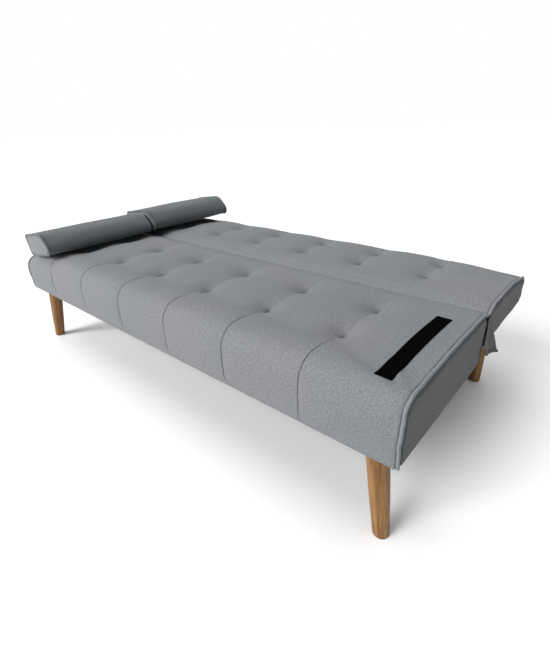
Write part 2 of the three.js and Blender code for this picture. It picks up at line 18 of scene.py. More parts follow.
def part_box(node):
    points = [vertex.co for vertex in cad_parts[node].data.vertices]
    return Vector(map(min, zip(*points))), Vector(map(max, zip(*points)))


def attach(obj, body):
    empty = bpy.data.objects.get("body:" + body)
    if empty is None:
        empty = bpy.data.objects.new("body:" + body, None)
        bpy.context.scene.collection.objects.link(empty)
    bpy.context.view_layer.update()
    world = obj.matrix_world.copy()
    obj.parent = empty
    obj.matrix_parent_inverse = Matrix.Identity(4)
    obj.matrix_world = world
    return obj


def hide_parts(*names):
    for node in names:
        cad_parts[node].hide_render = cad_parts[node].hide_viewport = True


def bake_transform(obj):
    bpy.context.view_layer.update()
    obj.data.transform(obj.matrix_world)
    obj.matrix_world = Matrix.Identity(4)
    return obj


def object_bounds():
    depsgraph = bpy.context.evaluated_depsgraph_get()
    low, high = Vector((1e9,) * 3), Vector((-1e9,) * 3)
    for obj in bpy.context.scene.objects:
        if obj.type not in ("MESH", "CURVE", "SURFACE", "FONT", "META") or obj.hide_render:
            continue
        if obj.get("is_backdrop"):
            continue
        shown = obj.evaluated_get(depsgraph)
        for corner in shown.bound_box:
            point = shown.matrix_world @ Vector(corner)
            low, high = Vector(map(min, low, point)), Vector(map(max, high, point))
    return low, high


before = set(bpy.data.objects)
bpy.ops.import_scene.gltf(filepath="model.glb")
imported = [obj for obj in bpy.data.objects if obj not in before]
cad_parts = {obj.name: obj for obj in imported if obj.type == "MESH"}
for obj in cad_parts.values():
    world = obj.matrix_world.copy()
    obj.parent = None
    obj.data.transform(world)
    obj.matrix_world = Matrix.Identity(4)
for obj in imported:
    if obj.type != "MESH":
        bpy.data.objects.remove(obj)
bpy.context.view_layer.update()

# %% [markdown]
# ## Sizes taken from the frame
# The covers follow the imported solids. The crease is the line where the two covers meet: it lies midway
# between the halves, a little below the top. Seven equal panels are sewn side by side, so six seams cross
# each half. The tuft rows are given as distances from the bed's front. Each value is kept here once, so
# that every piece that meets at a line reads the same number.

# %% Sizes
seat_low, seat_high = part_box("seat_cushion")
back_low, back_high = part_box("back_cushion")
FRONT = seat_low.y
REAR = back_high.y
SEAT_BOTTOM = seat_low.z
BACK_BOTTOM = back_low.z
TOP = seat_high.z
END = seat_high.x
CREASE_Y = (seat_high.y + back_low.y) / 2
CREASE_Z = 0.414
PANELS = 7
PITCH = 2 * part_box("seat_side_cover_right")[1].x / PANELS
SEAMS = (np.arange(1, PANELS) - PANELS / 2) * PITCH
SEAT_TUFTS = FRONT + np.array([0.189, 0.372])
BACK_TUFTS = FRONT + np.array([0.717, 0.864])
print("seams at", np.round(SEAMS, 3), "crease at y", round(CREASE_Y, 4))

# %% [markdown]
# ## The camera
# A camera is placed by where it stands and how it is turned. Yaw turns it about the vertical, pitch tips it
# down and roll tilts the horizon. A short lens close to the bed makes the near corner large and the far end
# small, as the bed looks in a small room.

# %% Camera
SENSOR_WIDTH = 36.0


def aim_camera(place, yaw, pitch, roll, lens):
    """Three turns make the camera's axes: yaw and pitch give the way it looks, and roll turns right and up
    round it."""
    yaw, pitch, roll = np.radians([yaw, pitch, roll])
    ahead = np.array([np.sin(yaw) * np.cos(pitch), np.cos(yaw) * np.cos(pitch), -np.sin(pitch)])
    level = np.array([np.cos(yaw), -np.sin(yaw), 0.0])
    raised = np.cross(level, ahead)
    right = np.cos(roll) * level + np.sin(roll) * raised
    up = np.cos(roll) * raised - np.sin(roll) * level
    data = bpy.data.cameras.new("camera")
    data.lens = lens
    data.sensor_width = SENSOR_WIDTH
    data.clip_start = 0.01
    camera = bpy.data.objects.new("camera", data)
    camera.matrix_world = Matrix(np.column_stack([right, up, -ahead]).tolist()).to_4x4()
    camera.location = place
    bpy.context.scene.collection.objects.link(camera)
    bpy.context.scene.camera = camera
    return camera


aim_camera((1.119, -1.0998, 0.9063), yaw=-41.306, pitch=27.280, roll=-1.96, lens=22.277)
print("camera at", tuple(bpy.context.scene.camera.location))

# %% [markdown]
# ## The floor
# The bed stands on a wide pale sheet, as in a studio. The sheet could curve up behind the bed, but a flat
# one far larger than the view gives the same even ground. Its paint is a plain shader, and the helper that
# sets a shader's numbers serves the metals and tapes as well.

# %% Plain paint and the floor
FLOOR_REACH = 60


def paint(name, colour, roughness=0.9, metallic=0.0, **sockets):
    """A plain shader whose numbers are set on its own sockets."""
    material = bpy.data.materials.new(name)
    material.use_nodes = True
    shader = material.node_tree.nodes["Principled BSDF"]
    shader.inputs["Base Color"].default_value = (*colour, 1)
    shader.inputs["Roughness"].default_value = roughness
    shader.inputs["Metallic"].default_value = metallic
    for socket, value in sockets.items():
        shader.inputs[socket.replace("_", " ").title().replace("Ior", "IOR")].default_value = value
    return material


floor_corners = [(x * FLOOR_REACH, y * FLOOR_REACH, 0) for x, y in ((-1, -1), (1, -1), (1, 1), (-1, 1))]
floor_mesh = bpy.data.meshes.new("floor")
floor_mesh.from_pydata(floor_corners, [], [(0, 1, 2, 3)])
floor_mesh.materials.append(paint("pale_floor", (0.93, 0.93, 0.93)))
floor = bpy.data.objects.new("floor", floor_mesh)
bpy.context.scene.collection.objects.link(floor)
floor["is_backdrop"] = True
print("floor reaches", FLOOR_REACH, "m each way")

# %% [markdown]
# ## Three soft lights
# A small lamp would draw hard shadows under the bed. A sun with a wide angle acts as a soft box far away:
# one comes from in front and lights the front face most, and a second comes from above and fills the top. A
# square lamp at the front left adds a little light to that end and to the bolsters.

# %% Lights
def hang_lamp(data, toward):
    """Puts a lamp in the scene. Light leaves it along its own -Z, which is turned to run along toward."""
    lamp = bpy.data.objects.new(data.name, data)
    lamp.rotation_mode = "QUATERNION"
    lamp.rotation_quaternion = Vector(toward).to_track_quat("-Z", "Y")
    bpy.context.scene.collection.objects.link(lamp)
    return lamp


def soft_sun(name, energy, angle, toward):
    """A sun whose rays run along toward. A wide angle, in degrees, gives a soft shadow edge."""
    data = bpy.data.lights.new(name, "SUN")
    data.energy = energy
    data.angle = math.radians(angle)
    return hang_lamp(data, toward)


def soft_box(name, energy, size, place, toward):
    """A square lamp that stands at a place and faces along toward."""
    data = bpy.data.lights.new(name, "AREA")
    data.energy = energy
    data.size = size
    lamp = hang_lamp(data, toward)
    lamp.location = place
    return lamp


soft_sun("key", 3.0, 34, (0.30, 0.84, -0.56))
soft_sun("top_fill", 1.65, 60, (0.10, -0.12, -1.0))
soft_box("left_box", 34.0, 1.5, (-2.2, -2.7, 1.5), (1.6, 2.4, -1.1))

# %% [markdown]
# ## A pale sky
# The world does two jobs. Looked at directly it is a white backdrop, and as a light it is much dimmer and a
# little blue, so that it fills the shadows without washing out the cloth. A Light Path node tells the two
# apart, which is simpler than putting a lit wall behind the bed.

# %% Backdrop
SKY_STRENGTH = 0.22
world = bpy.data.worlds.new("pale_sky")
world.use_nodes = True
bpy.context.scene.world = world
sky = world.node_tree.nodes
links = world.node_tree.links
seen = sky["Background"]
seen.inputs["Color"].default_value = (1, 1, 1, 1)
glow = sky.new("ShaderNodeBackground")
glow.inputs["Color"].default_value = (0.93, 0.96, 1.0, 1)
glow.inputs["Strength"].default_value = SKY_STRENGTH
path = sky.new("ShaderNodeLightPath")
choose = sky.new("ShaderNodeMixShader")
links.new(path.outputs["Is Camera Ray"], choose.inputs["Fac"])
links.new(glow.outputs[0], choose.inputs[1])
links.new(seen.outputs[0], choose.inputs[2])
links.new(choose.outputs[0], sky["World Output"].inputs["Surface"])
bpy.context.scene.view_settings.view_transform = "Standard"
print("sky strength", SKY_STRENGTH)

# %% [markdown]
# ## Measuring a grid of points
# Most pieces here are a grid of points: rows one way, columns the other. Two measures of a grid are needed
# often. The first is how many metres its rows and columns span, for a weave that keeps its real scale. The
# second is its volume with a sign, which tells whether a closed grid faces outwards or has been turned
# inside out. Blender can recalculate normals too, but the sign is exact and costs one sum.

# %% Measures of a grid
def steps_along(points, axis):
    """Metres from the first row or column, from the mean length of each step."""
    gaps = np.linalg.norm(np.diff(points, axis=axis), axis=2).mean(axis=1 - axis)
    return np.concatenate([[0.0], np.cumsum(gaps)])


def volume(points):
    """Signed volume of a ring grid: each face makes two thin pyramids with the origin, and they are summed
    with their sign."""
    a, b = points, np.roll(points, -1, axis=1)
    first = np.einsum("ijk,ijk->", a[:-1], np.cross(b[:-1], b[1:]))
    second = np.einsum("ijk,ijk->", a[:-1], np.cross(b[1:], a[1:]))
    low, high = points[0], points[-1]
    caps = np.einsum("jk,jk->", high[:1] * np.ones_like(high), np.cross(high, np.roll(high, -1, 0)))
    caps -= np.einsum("jk,jk->", low[:1] * np.ones_like(low), np.cross(low, np.roll(low, -1, 0)))
    return (first + second + caps) / 6


cube_rows = np.array([[[0, 0, z], [1, 0, z], [1, 1, z], [0, 1, z]] for z in (0.0, 1.0)])
print("volume of a cube as a ring grid:", round(float(volume(cube_rows)), 6))

# %% [markdown]
# ## A mesh over a grid of points
# Four neighbours on the grid make a face. A tube or a cushion is the same grid with its last column joined
# to its first, and one face over each open end. The cloth map stores metres along and across the cloth, and
# the seam attribute marks the stitch lines for the material. All of it is written as whole arrays, because
# a loop over a hundred thousand corners would be slow.

# %% Grids into meshes
def grid_mesh(name, points, ring=False, ends=False, material=None, seam=None):
    """Faces join each grid point with its neighbours. ring joins the last column to the first, and ends
    closes the first and last rows. A ring grid whose volume is negative is turned over to face outwards."""
    if ring and volume(points) < 0:
        points = points[:, ::-1]
        seam = None if seam is None else seam[:, ::-1]
    rows, columns = points.shape[:2]
    index = np.arange(rows * columns).reshape(rows, columns)
    across = np.concatenate([index, index[:, :1]], axis=1) if ring else index
    quads = np.stack([across[:-1, :-1], across[:-1, 1:], across[1:, 1:], across[1:, :-1]], axis=2)
    quads = quads.reshape(-1, 4)
    closed = np.concatenate([points, points[:, :1]], axis=1) if ring else points
    vv, uu = np.meshgrid(steps_along(closed, 0), steps_along(closed, 1), indexing="ij")
    corner = np.stack([uu, vv], axis=2)
    uv = np.stack([corner[:-1, :-1], corner[:-1, 1:], corner[1:, 1:], corner[1:, :-1]], axis=2)
    uv = uv.reshape(-1, 2)
    faces = quads.tolist()
    if ends:
        faces += [index[0, ::-1].tolist(), index[-1].tolist()]
        uv = np.concatenate([uv, points[0, ::-1, 1:], points[-1, :, 1:]])
    mesh = bpy.data.meshes.new(name)
    mesh.from_pydata(points.reshape(-1, 3).tolist(), [], faces)
    mesh.uv_layers.new(name="cloth").data.foreach_set("uv", uv.astype(np.float32).ravel())
    if seam is not None:
        stitch = mesh.attributes.new("seam", "FLOAT", "POINT")
        stitch.data.foreach_set("value", seam.astype(np.float32).ravel())
    mesh.polygons.foreach_set("use_smooth", np.ones(len(faces), bool))
    mesh.materials.append(material)
    mesh.update()
    piece = bpy.data.objects.new(name, mesh)
    bpy.context.scene.collection.objects.link(piece)
    return piece


print("a grid of", 3, "by", 4, "points becomes", 2 * 3, "faces, or", 2 * 4, "as a ring")

# %% [markdown]
# ## Helpers for shader nodes
# A material is a chain of nodes. It could be wired by hand in the shader editor, but the same few patterns
# come back on every finish of the bed, so each is a helper: slubs for thick and thin threads, threads for
# the weave, a sum or product, and a colour ramp.

# %% Node helpers
def link(tree, a, b):
    """Joins an output socket to an input socket."""
    tree.links.new(a, b)


def node(tree, kind, **values):
    """A new node with its values set. A name that isn't a property of the node is one of its sockets."""
    made = tree.nodes.new(kind)
    for key, value in values.items():
        if hasattr(made, key):
            setattr(made, key, value)
        else:
            made.inputs[key.replace("_", " ")].default_value = value
    return made


def slubs(tree, cloth, along, across, detail=3.0):
    """Noise stretched one way: fine across the threads and long along them."""
    mapping = node(tree, "ShaderNodeMapping")
    mapping.inputs["Scale"].default_value = (along, across, 1)
    link(tree, cloth, mapping.inputs["Vector"])
    noise = node(tree, "ShaderNodeTexNoise", Scale=1.0, Detail=detail, Roughness=0.65)
    link(tree, mapping.outputs[0], noise.inputs["Vector"])
    return noise.outputs["Fac"]


WAVES_PER_UNIT = 3.18


def threads(tree, cloth, direction, pitch):
    """A sine wave across the threads, one crest to each thread. The wave texture has about three crests to
    a unit at scale 1, so its scale is one over that many pitches."""
    wave = node(tree, "ShaderNodeTexWave", wave_type="BANDS", bands_direction=direction, wave_profile="SIN")
    wave.inputs["Scale"].default_value = 1 / (pitch * WAVES_PER_UNIT)
    wave.inputs["Distortion"].default_value = 0.6
    wave.inputs["Detail"].default_value = 1.0
    link(tree, cloth, wave.inputs["Vector"])
    return wave.outputs["Fac"]


def maths(tree, operation, a, b=None, c=None):
    """One sum on up to three values, each a number or another node's output."""
    made = node(tree, "ShaderNodeMath", operation=operation)
    for socket, value in zip(made.inputs, (a, b, c)):
        if isinstance(value, (int, float)):
            socket.default_value = value
        elif value is not None:
            link(tree, value, socket)
    return made.outputs[0]


def ramp(tree, factor, *stops):
    """A colour ramp through (position, colour) stops."""
    made = node(tree, "ShaderNodeValToRGB")
    elements = made.color_ramp.elements
    while len(elements) < len(stops):
        elements.new(0.5)
    for element, (position, colour) in zip(elements, stops):
        element.position = position
        element.color = (*colour, 1)
    link(tree, factor, made.inputs["Fac"])
    return made.outputs["Color"]


print("node helpers: link, node, slubs, threads, maths, ramp")

# %% [markdown]
# ## Linen weave
# The cover is a heathered linen: threads of slightly different greys, thick and thin, crossing each other.
# Two noises stretched along the two thread directions give the slubs, a fine wave each way gives the
# weave's relief, and a slow noise lets the colour drift over the cloth. Sheen softens the edges. Shade is
# painted into the stitch lines, the tuft holes and beside the bolsters' piping by an attribute that is 1
# there.

# %% Linen
TONE_GAIN = 14
# How far the seam attribute darkens the cloth: painted shade in stitch lines, tuft holes and bolster seams.
SEAM_PAINTED_SHADE = 0.45


def linen(name, warm, cool, pitch=0.0011, contrast=0.27, sheen=0.08):
    """Slubs, threads and a slow drift mixed into one linen, warm and cool being its two thread colours."""
    material = bpy.data.materials.new(name)
    material.use_nodes = True
    tree = material.node_tree
    shader = tree.nodes["Principled BSDF"]
    cloth = node(tree, "ShaderNodeUVMap", uv_map="cloth").outputs["UV"]
    warp = slubs(tree, cloth, 620, 110)
    weft = slubs(tree, cloth, 110, 620)
    mottle = slubs(tree, cloth, 380, 380, 2.0)
    drift = node(tree, "ShaderNodeTexNoise", Scale=2.6, Detail=2.0)
    link(tree, node(tree, "ShaderNodeTexCoord").outputs["Object"], drift.inputs["Vector"])
    both = maths(tree, "ADD", maths(tree, "ADD", warp, weft), mottle)
    tone = maths(tree, "MULTIPLY_ADD", both, 1 / 3, 0.0)
    colour = ramp(tree, drift.outputs["Fac"], (0.35, cool), (0.65, warm))
    light = maths(tree, "MULTIPLY_ADD", maths(tree, "SUBTRACT", tone, 0.5), contrast * TONE_GAIN, 1.0)
    # Painted shade: the seam attribute darkens the stitch lines, the tuft holes and the bolster seams.
    seam = node(tree, "ShaderNodeAttribute", attribute_name="seam")
    dark = maths(tree, "MULTIPLY_ADD", seam.outputs["Fac"], -SEAM_PAINTED_SHADE, 1.0)
    shade = maths(tree, "MULTIPLY", light, dark)
    mixed = node(tree, "ShaderNodeVectorMath", operation="SCALE")
    link(tree, colour, mixed.inputs[0])
    link(tree, shade, mixed.inputs["Scale"])
    link(tree, mixed.outputs[0], shader.inputs["Base Color"])
    weave = maths(tree, "MULTIPLY", threads(tree, cloth, "X", pitch), threads(tree, cloth, "Y", pitch))
    relief = maths(tree, "ADD", maths(tree, "MULTIPLY", weave, 0.5), tone)
    bump = node(tree, "ShaderNodeBump", Strength=0.35, Distance=0.0006)
    link(tree, relief, bump.inputs["Height"])
    link(tree, bump.outputs[0], shader.inputs["Normal"])
    rough = maths(tree, "MULTIPLY_ADD", tone, 0.2, 0.78)
    link(tree, rough, shader.inputs["Roughness"])
    shader.inputs["Specular IOR Level"].default_value = 0.12
    shader.inputs["Sheen Weight"].default_value = sheen
    shader.inputs["Sheen Roughness"].default_value = 0.55
    return material


cover_linen = linen("heathered_linen", (0.182, 0.182, 0.192), (0.162, 0.178, 0.183))
# Painted shade: a darker copy of the cover's linen, used on the end panels and the hinge gussets.
end_painted_shade_linen = linen("end_panel_painted_shade_linen", (0.098, 0.099, 0.102), (0.089, 0.096, 0.098))
# Painted highlight: a lighter copy of the cover's linen for the piping, in place of the light along the
# cord's top.
piping_painted_highlight_linen = linen("piping_painted_highlight_linen", (0.205, 0.207, 0.216), (0.186, 0.202, 0.206), contrast=0.1)
# Painted shade: a darker copy of the cover's linen for the bolster bodies and their piping.
bolster_painted_shade_linen = linen("bolster_painted_shade_linen", (0.130, 0.138, 0.143), (0.117, 0.133, 0.136), contrast=0.14)
print("cloths:", [cloth.name for cloth in (cover_linen, end_painted_shade_linen, piping_painted_highlight_linen, bolster_painted_shade_linen)])

# %% [markdown]
# ## Outlines with rounded corners
# A cushion's side view is a chain of straight runs and arcs. The helper takes corners with a radius each,
# lays an arc in every corner, and sets points at even steps round the whole outline, so that a grid built
# on it has even cloth.

# %% Rounded outline
ARC_POINTS = 13


def rounded_outline(corners, count):
    """Arcs tangent to both sides of every corner, joined by straight runs, then count points at even steps.
    Gives the points, how far along the outline each lies, and how far along each corner's middle lies."""
    corners = np.array(corners, float)
    place, radius = corners[:, :2], corners[:, 2:3]
    before, after = np.roll(place, 1, 0) - place, np.roll(place, -1, 0) - place
    before /= np.linalg.norm(before, axis=1, keepdims=True)
    after /= np.linalg.norm(after, axis=1, keepdims=True)
    half = np.arccos(np.clip((before * after).sum(1, keepdims=True), -1, 1)) / 2
    inward = before + after
    inward /= np.linalg.norm(inward, axis=1, keepdims=True) + 1e-12
    centre = place + inward * radius / np.sin(half)
    turn = (np.pi - 2 * half)[:, :, None]
    t = np.linspace(0, 1, ARC_POINTS)[None, :, None]
    a = before * radius / np.tan(half) + place - centre
    b = after * radius / np.tan(half) + place - centre
    spokes = (np.sin((1 - t) * turn) * a[:, None] + np.sin(t * turn) * b[:, None]) / np.sin(turn)
    path = (centre[:, None] + spokes).reshape(-1, 2)
    path = np.concatenate([path, path[:1]])
    length = np.concatenate([[0.0], np.cumsum(np.linalg.norm(np.diff(path, axis=0), axis=1))])
    at = np.linspace(0, length[-1], count, endpoint=False)
    outline = np.stack([np.interp(at, length, path[:, i]) for i in (0, 1)], axis=1)
    return outline, at, length[ARC_POINTS // 2:-1:ARC_POINTS]


def outline_normals(outline):
    """Normals of a closed outline: its tangent turned a quarter."""
    tangent = np.roll(outline, -1, 0) - np.roll(outline, 1, 0)
    tangent /= np.linalg.norm(tangent, axis=1, keepdims=True)
    normal = np.stack([-tangent[:, 1], tangent[:, 0]], axis=1)
    area = (outline[:, 0] * np.roll(outline[:, 1], -1) - np.roll(outline[:, 0], -1) * outline[:, 1]).sum()
    return -normal if area > 0 else normal


square = [(0, 0, 0.1), (1, 0, 0.1), (1, 1, 0.1), (0, 1, 0.1)]
print("a unit square with 0.1 corners is", round(40 * float(rounded_outline(square, 40)[1][1]), 2), "round")

# %% [markdown]
# ## Side views of the two halves
# Seen from the end, each half is a cover folded round its foam and tucked under: the list goes from the
# tucked edge inside, round the bottom, up one side, over the top, down the other side and back under. A
# third number is the corner's radius. The front rounds over softly, and the sides of the crease fall in
# steeply, because the cloth is drawn down there. Tracing a spline by hand would give the same shape, but
# with points that mean nothing.

# %% Corners of the seat and the back
WALL = 0.011
BACK_TUCK = 0.014
seat_corners = [
    (FRONT + WALL, SEAT_BOTTOM + 0.082, 0.004), (FRONT + WALL, SEAT_BOTTOM + 0.0005, 0.002),
    (FRONT + 0.005, SEAT_BOTTOM + 0.0005, 0.004), (FRONT + 0.0005, SEAT_BOTTOM + 0.085, 0.30),
    (FRONT + 0.003, TOP + 0.004, 0.050), (FRONT + 0.25, TOP + 0.0105, 1.5),
    (CREASE_Y - 0.045, TOP + 0.006, 0.060), (CREASE_Y - 0.0006, CREASE_Z, 0.004),
    (CREASE_Y - 0.0045, CREASE_Z - 0.022, 0.01), (seat_high.y + 0.001, SEAT_BOTTOM + 0.0005, 0.003),
    (seat_high.y - WALL, SEAT_BOTTOM + 0.0005, 0.002), (seat_high.y - WALL, SEAT_BOTTOM + 0.082, 0.004),
]
back_corners = [
    (back_low.y + WALL, BACK_BOTTOM + 0.052, 0.004), (back_low.y + WALL, BACK_BOTTOM + 0.0005, 0.002),
    (back_low.y - 0.001, BACK_BOTTOM + 0.0005, 0.003), (CREASE_Y + 0.0045, CREASE_Z - 0.022, 0.01),
    (CREASE_Y + 0.0006, CREASE_Z, 0.004), (CREASE_Y + 0.050, TOP + 0.007, 0.09),
    (REAR - 0.20, TOP + 0.009, 1.2), (REAR - 0.022, TOP + 0.001, 0.045),
    (REAR + 0.001, BACK_BOTTOM + 0.030, 0.035), (REAR - BACK_TUCK, BACK_BOTTOM + 0.0005, 0.003),
    (REAR - BACK_TUCK - WALL, BACK_BOTTOM + 0.0005, 0.002),
    (REAR - BACK_TUCK - WALL, BACK_BOTTOM + 0.052, 0.004),
]
# The first and last corner, counted from 0, of each cover's outside, and of the outline an end panel fills.
SEAT_RUN = (2, 7)
BACK_RUN = (4, 8)
PANEL_RUN = (2, 9)
print("seat outline", len(seat_corners), "corners; back outline", len(back_corners))

# %% [markdown]
# ## The tufted cover
# A tuft is a thread pulled through the foam. Round it the cloth sinks in a funnel that is drawn out along
# the seam, and between seams the panel stands up in a low crown. The shape is the outline pushed out or in
# along its normal by a sum of these: crown, funnels, a narrow stitch groove and a roll-off towards each
# end.

# %% Crown, tufts, stitch groove and ends as one height
CROWN = 0.004
TUFT_DEPTH = 0.033
GROOVE_DEPTH = 0.0020
END_ROUND = 0.016
WIDE_REACH = (0.042, 0.058)
TIGHT_REACH = (0.015, 0.022)


def smooth(t):
    """A step from 0 to 1 that starts and ends level: three t squared minus two t cubed."""
    t = np.clip(t, 0, 1)
    return t * t * (3 - 2 * t)


def panel_place(x):
    """Distance from the nearest seam, and the place across a panel from 0 to 1, which is 0 at the ends."""
    t = (x / PITCH + PANELS / 2) % 1.0
    t = np.where(np.abs(x) > END - 1e-6, 0.0, t)
    return np.abs(x[:, None] - SEAMS[None]).min(1), t


def cover_relief(outline, at, corner_at, first, last, x, tufts, crown, depth, stitched):
    """How far each point stands out along the normal: crown across a panel, minus funnels at the tufts,
    minus a stitch groove on each seam, minus the round of the ends. Zero on the hidden inside, and eased in
    over a few centimetres. A funnel is a wide bell and a tight one, both longer across the bed than along."""
    y, z = outline[:, 0], outline[:, 1]
    ease = 0.030
    outside = smooth((at - corner_at[first]) / ease) * smooth((corner_at[last] - at) / ease)
    gap, t = panel_place(x)
    hump = 1 - np.abs(2 * t - 1) ** 2.3
    padded = np.exp(-((y - tufts.mean()) / 0.115) ** 4) * smooth((z - (TOP - 0.045)) / 0.04)
    relief = crown * outside[:, None] * (0.15 + 0.85 * padded[:, None]) * hump[None]
    upper = smooth((z - (TOP - 0.045)) / 0.03) * outside
    for place in tufts:
        for seam in SEAMS:
            dx, dy = (x - seam)[None], (y - place)[:, None]
            wide = np.exp(-(np.hypot(dx / WIDE_REACH[0], dy / WIDE_REACH[1]) + 1e-9) ** 1.5)
            tight = np.exp(-(np.hypot(dx / TIGHT_REACH[0], dy / TIGHT_REACH[1]) + 1e-9) ** 1.25)
            relief -= depth * upper[:, None] * (0.46 * wide + 0.54 * tight)
    if stitched:
        steep = 1 - 0.75 * smooth((y - FRONT - 0.03) / 0.10)
        relief -= GROOVE_DEPTH * (outside * steep)[:, None] * np.exp(-(gap / 0.0014) ** 2)[None]
    edge = np.clip((np.abs(x) - (END - END_ROUND)) / END_ROUND, 0, 1)
    relief -= 0.0065 * outside[:, None] * (1 - np.sqrt(1 - edge ** 2 * 0.98))[None]
    return relief, outside, gap


print("crown", CROWN, "tuft depth", TUFT_DEPTH, "stitch groove", GROOVE_DEPTH, "metres")

# %% [markdown]
# ## From height to cover
# The height is laid over the outline at a row of places along the bed. The places are even, with a close
# bunch at every seam, because a stitch groove is far narrower than the even step. A real bed is not quite
# level either: the far corners sag, and a bolster presses the seat's left end down. Both are taken off z by
# one function that the covers, their piping and the end panels share, so that the seams stay together.

# %% Stations, cover points and sag
FAR_DROOP = 0.020
LEFT_PRESS = 0.036


def cover_points(outline, x, relief):
    """Every outline point at every x, moved along the outline's normal by the relief."""
    normal = outline_normals(outline)
    yz = outline[:, None] + normal[:, None] * relief[:, :, None]
    along = np.broadcast_to(x[None, :, None], relief.shape + (1,))
    return np.concatenate([along, yz], axis=2).transpose(1, 0, 2)


def droop(points):
    """z falls smoothly with the nearness to the rear edge times the distance from the middle. On the seat it
    also falls with the nearness to the left end times the height above the bottom, except by the crease."""
    x, y, z = points[..., 0], points[..., 1], points[..., 2]
    fall = smooth((y - (REAR - 0.24)) / 0.24) * smooth((np.abs(x) - 0.62) / 0.28)
    fall = fall * smooth((z - BACK_BOTTOM) / 0.05)
    press = smooth((-x - 0.735) / 0.155) * smooth((z - SEAT_BOTTOM - 0.02) / 0.14)
    press = press * (1 - smooth((y - (CREASE_Y - 0.22)) / 0.21))
    return np.stack([x, y, z - FAR_DROOP * fall - LEFT_PRESS * press], axis=-1)


def seam_stations(step):
    """Places along the bed: even steps, a close bunch at every seam, and a few that close up to each end."""
    even = np.arange(-END, END, step)
    even = even[np.abs(even[:, None] - SEAMS[None]).min(1) > 0.008]
    even = even[np.abs(even) < END - 0.014]
    half_bunch = np.array([0.0007, 0.0014, 0.0022, 0.0034, 0.0055])
    bunch = np.concatenate([-half_bunch[::-1], [0], half_bunch])
    ends = END - np.array([0, 0.0012, 0.003, 0.0055, 0.0085, 0.012])
    return np.unique(np.concatenate([even, (SEAMS[:, None] + bunch).ravel(), ends, -ends]))


stations = seam_stations(0.009)
print(len(stations), "stations along the bed")

# %% [markdown]
# ## From a coarse grid to a fine one
# The cloth is simulated on a coarse grid, because a fine one would take minutes. What it finds is then read
# between the coarse points. A straight line between them would leave a facet at each, so a cubic through
# four neighbours is used, which passes through every point and turns smoothly.

# %% Cubic reading of a coarse grid
def cubic_weights(places, knots, wrap):
    """Rows of Catmull-Rom weights that read even knots at any place. wrap joins the last knot to the
    first."""
    f = (places - knots[0]) / (knots[1] - knots[0])
    i = np.floor(f).astype(int)
    t = f - i
    w = np.stack([(-t + 2 * t * t - t ** 3) / 2, (2 - 5 * t * t + 3 * t ** 3) / 2,
                  (t + 4 * t * t - 3 * t ** 3) / 2, (t ** 3 - t * t) / 2], axis=1)
    n = len(knots)
    column = i[:, None] + np.arange(-1, 3)[None]
    column = column % n if wrap else np.clip(column, 0, n - 1)
    weights = np.zeros((len(places), n))
    np.add.at(weights, (np.arange(len(places))[:, None], column), w)
    return weights


quarter = cubic_weights(np.array([1.25]), np.arange(4.0), False) @ np.arange(4.0) ** 2
print("a square read at 1.25:", round(float(quarter[0]), 4), "against", 1.25 ** 2)

# %% [markdown]
# ## Letting the cloth settle
# Padded cloth is stretched from inside and held only where it is sewn or stapled, so its last few
# millimetres are better found by simulation than by formula. A coarse copy of the cover is given Cloth with
# a little pressure and no gravity. Its hidden parts, seam ends and tufts are pinned, and the tuft points
# are pulled down over ten frames by a shape key, as the upholsterer's needle does. Only the difference that
# it makes is kept, and capped, so that one wild point can't spoil a cover.

# %% Cloth simulation on the coarse grid
PULL_FRAMES = 10
SETTLE_FRAMES = 20


def settle(name, start, pulled, hold, pressure, cap, stiffness=25.0):
    """Cloth starts as start, its held points move to pulled, and pressure fills it. Gives how far each point
    ends from pulled, capped."""
    turned = volume(start) < 0
    if turned:
        start, pulled, hold = start[:, ::-1], pulled[:, ::-1], hold[:, ::-1]
    piece = grid_mesh(name, start, ring=True, ends=True)
    piece.shape_key_add(name="sewn")
    key = piece.shape_key_add(name="pulled")
    key.data.foreach_set("co", pulled.astype(np.float32).ravel())
    for at_frame, value in ((1, 0.0), (PULL_FRAMES, 1.0)):
        key.value = value
        key.keyframe_insert("value", frame=at_frame)
    group = piece.vertex_groups.new(name="held")
    levels = np.round(hold.ravel(), 2)
    for level in np.unique(levels[levels > 0]):
        group.add(np.nonzero(levels == level)[0].tolist(), float(level), "REPLACE")
    cloth = piece.modifiers.new("cloth", "CLOTH")
    s = cloth.settings
    s.quality = 6
    s.mass = 0.25
    s.air_damping = 2.0
    s.tension_stiffness = stiffness
    s.compression_stiffness = stiffness
    s.shear_stiffness = stiffness / 3
    s.bending_stiffness = 0.8
    s.use_pressure = True
    s.uniform_pressure_force = pressure
    s.vertex_group_mass = "held"
    s.pin_stiffness = 8.0
    s.effector_weights.gravity = 0.0
    cloth.collision_settings.use_collision = False
    cloth.point_cache.frame_start = 1
    cloth.point_cache.frame_end = SETTLE_FRAMES
    scene = bpy.context.scene
    for at_frame in range(1, SETTLE_FRAMES + 1):
        scene.frame_set(at_frame)
    ready = piece.evaluated_get(bpy.context.evaluated_depsgraph_get())
    co = np.empty(len(ready.data.vertices) * 3, np.float32)
    ready.data.vertices.foreach_get("co", co)
    move = co.reshape(start.shape).astype(float) - pulled
    size = np.linalg.norm(move, axis=2, keepdims=True)
    move *= np.minimum(1, cap / np.maximum(size, 1e-9))
    bpy.data.objects.remove(piece)
    scene.frame_set(1)
    mean = 1000 * size.mean()
    most = 1000 * size.max()
    print(name, "settled: mean move", round(mean, 2), "mm, most", round(most, 1), "mm")
    return move[:, ::-1] if turned else move


print("cloth settles over", SETTLE_FRAMES, "frames, the needles pull for", PULL_FRAMES)

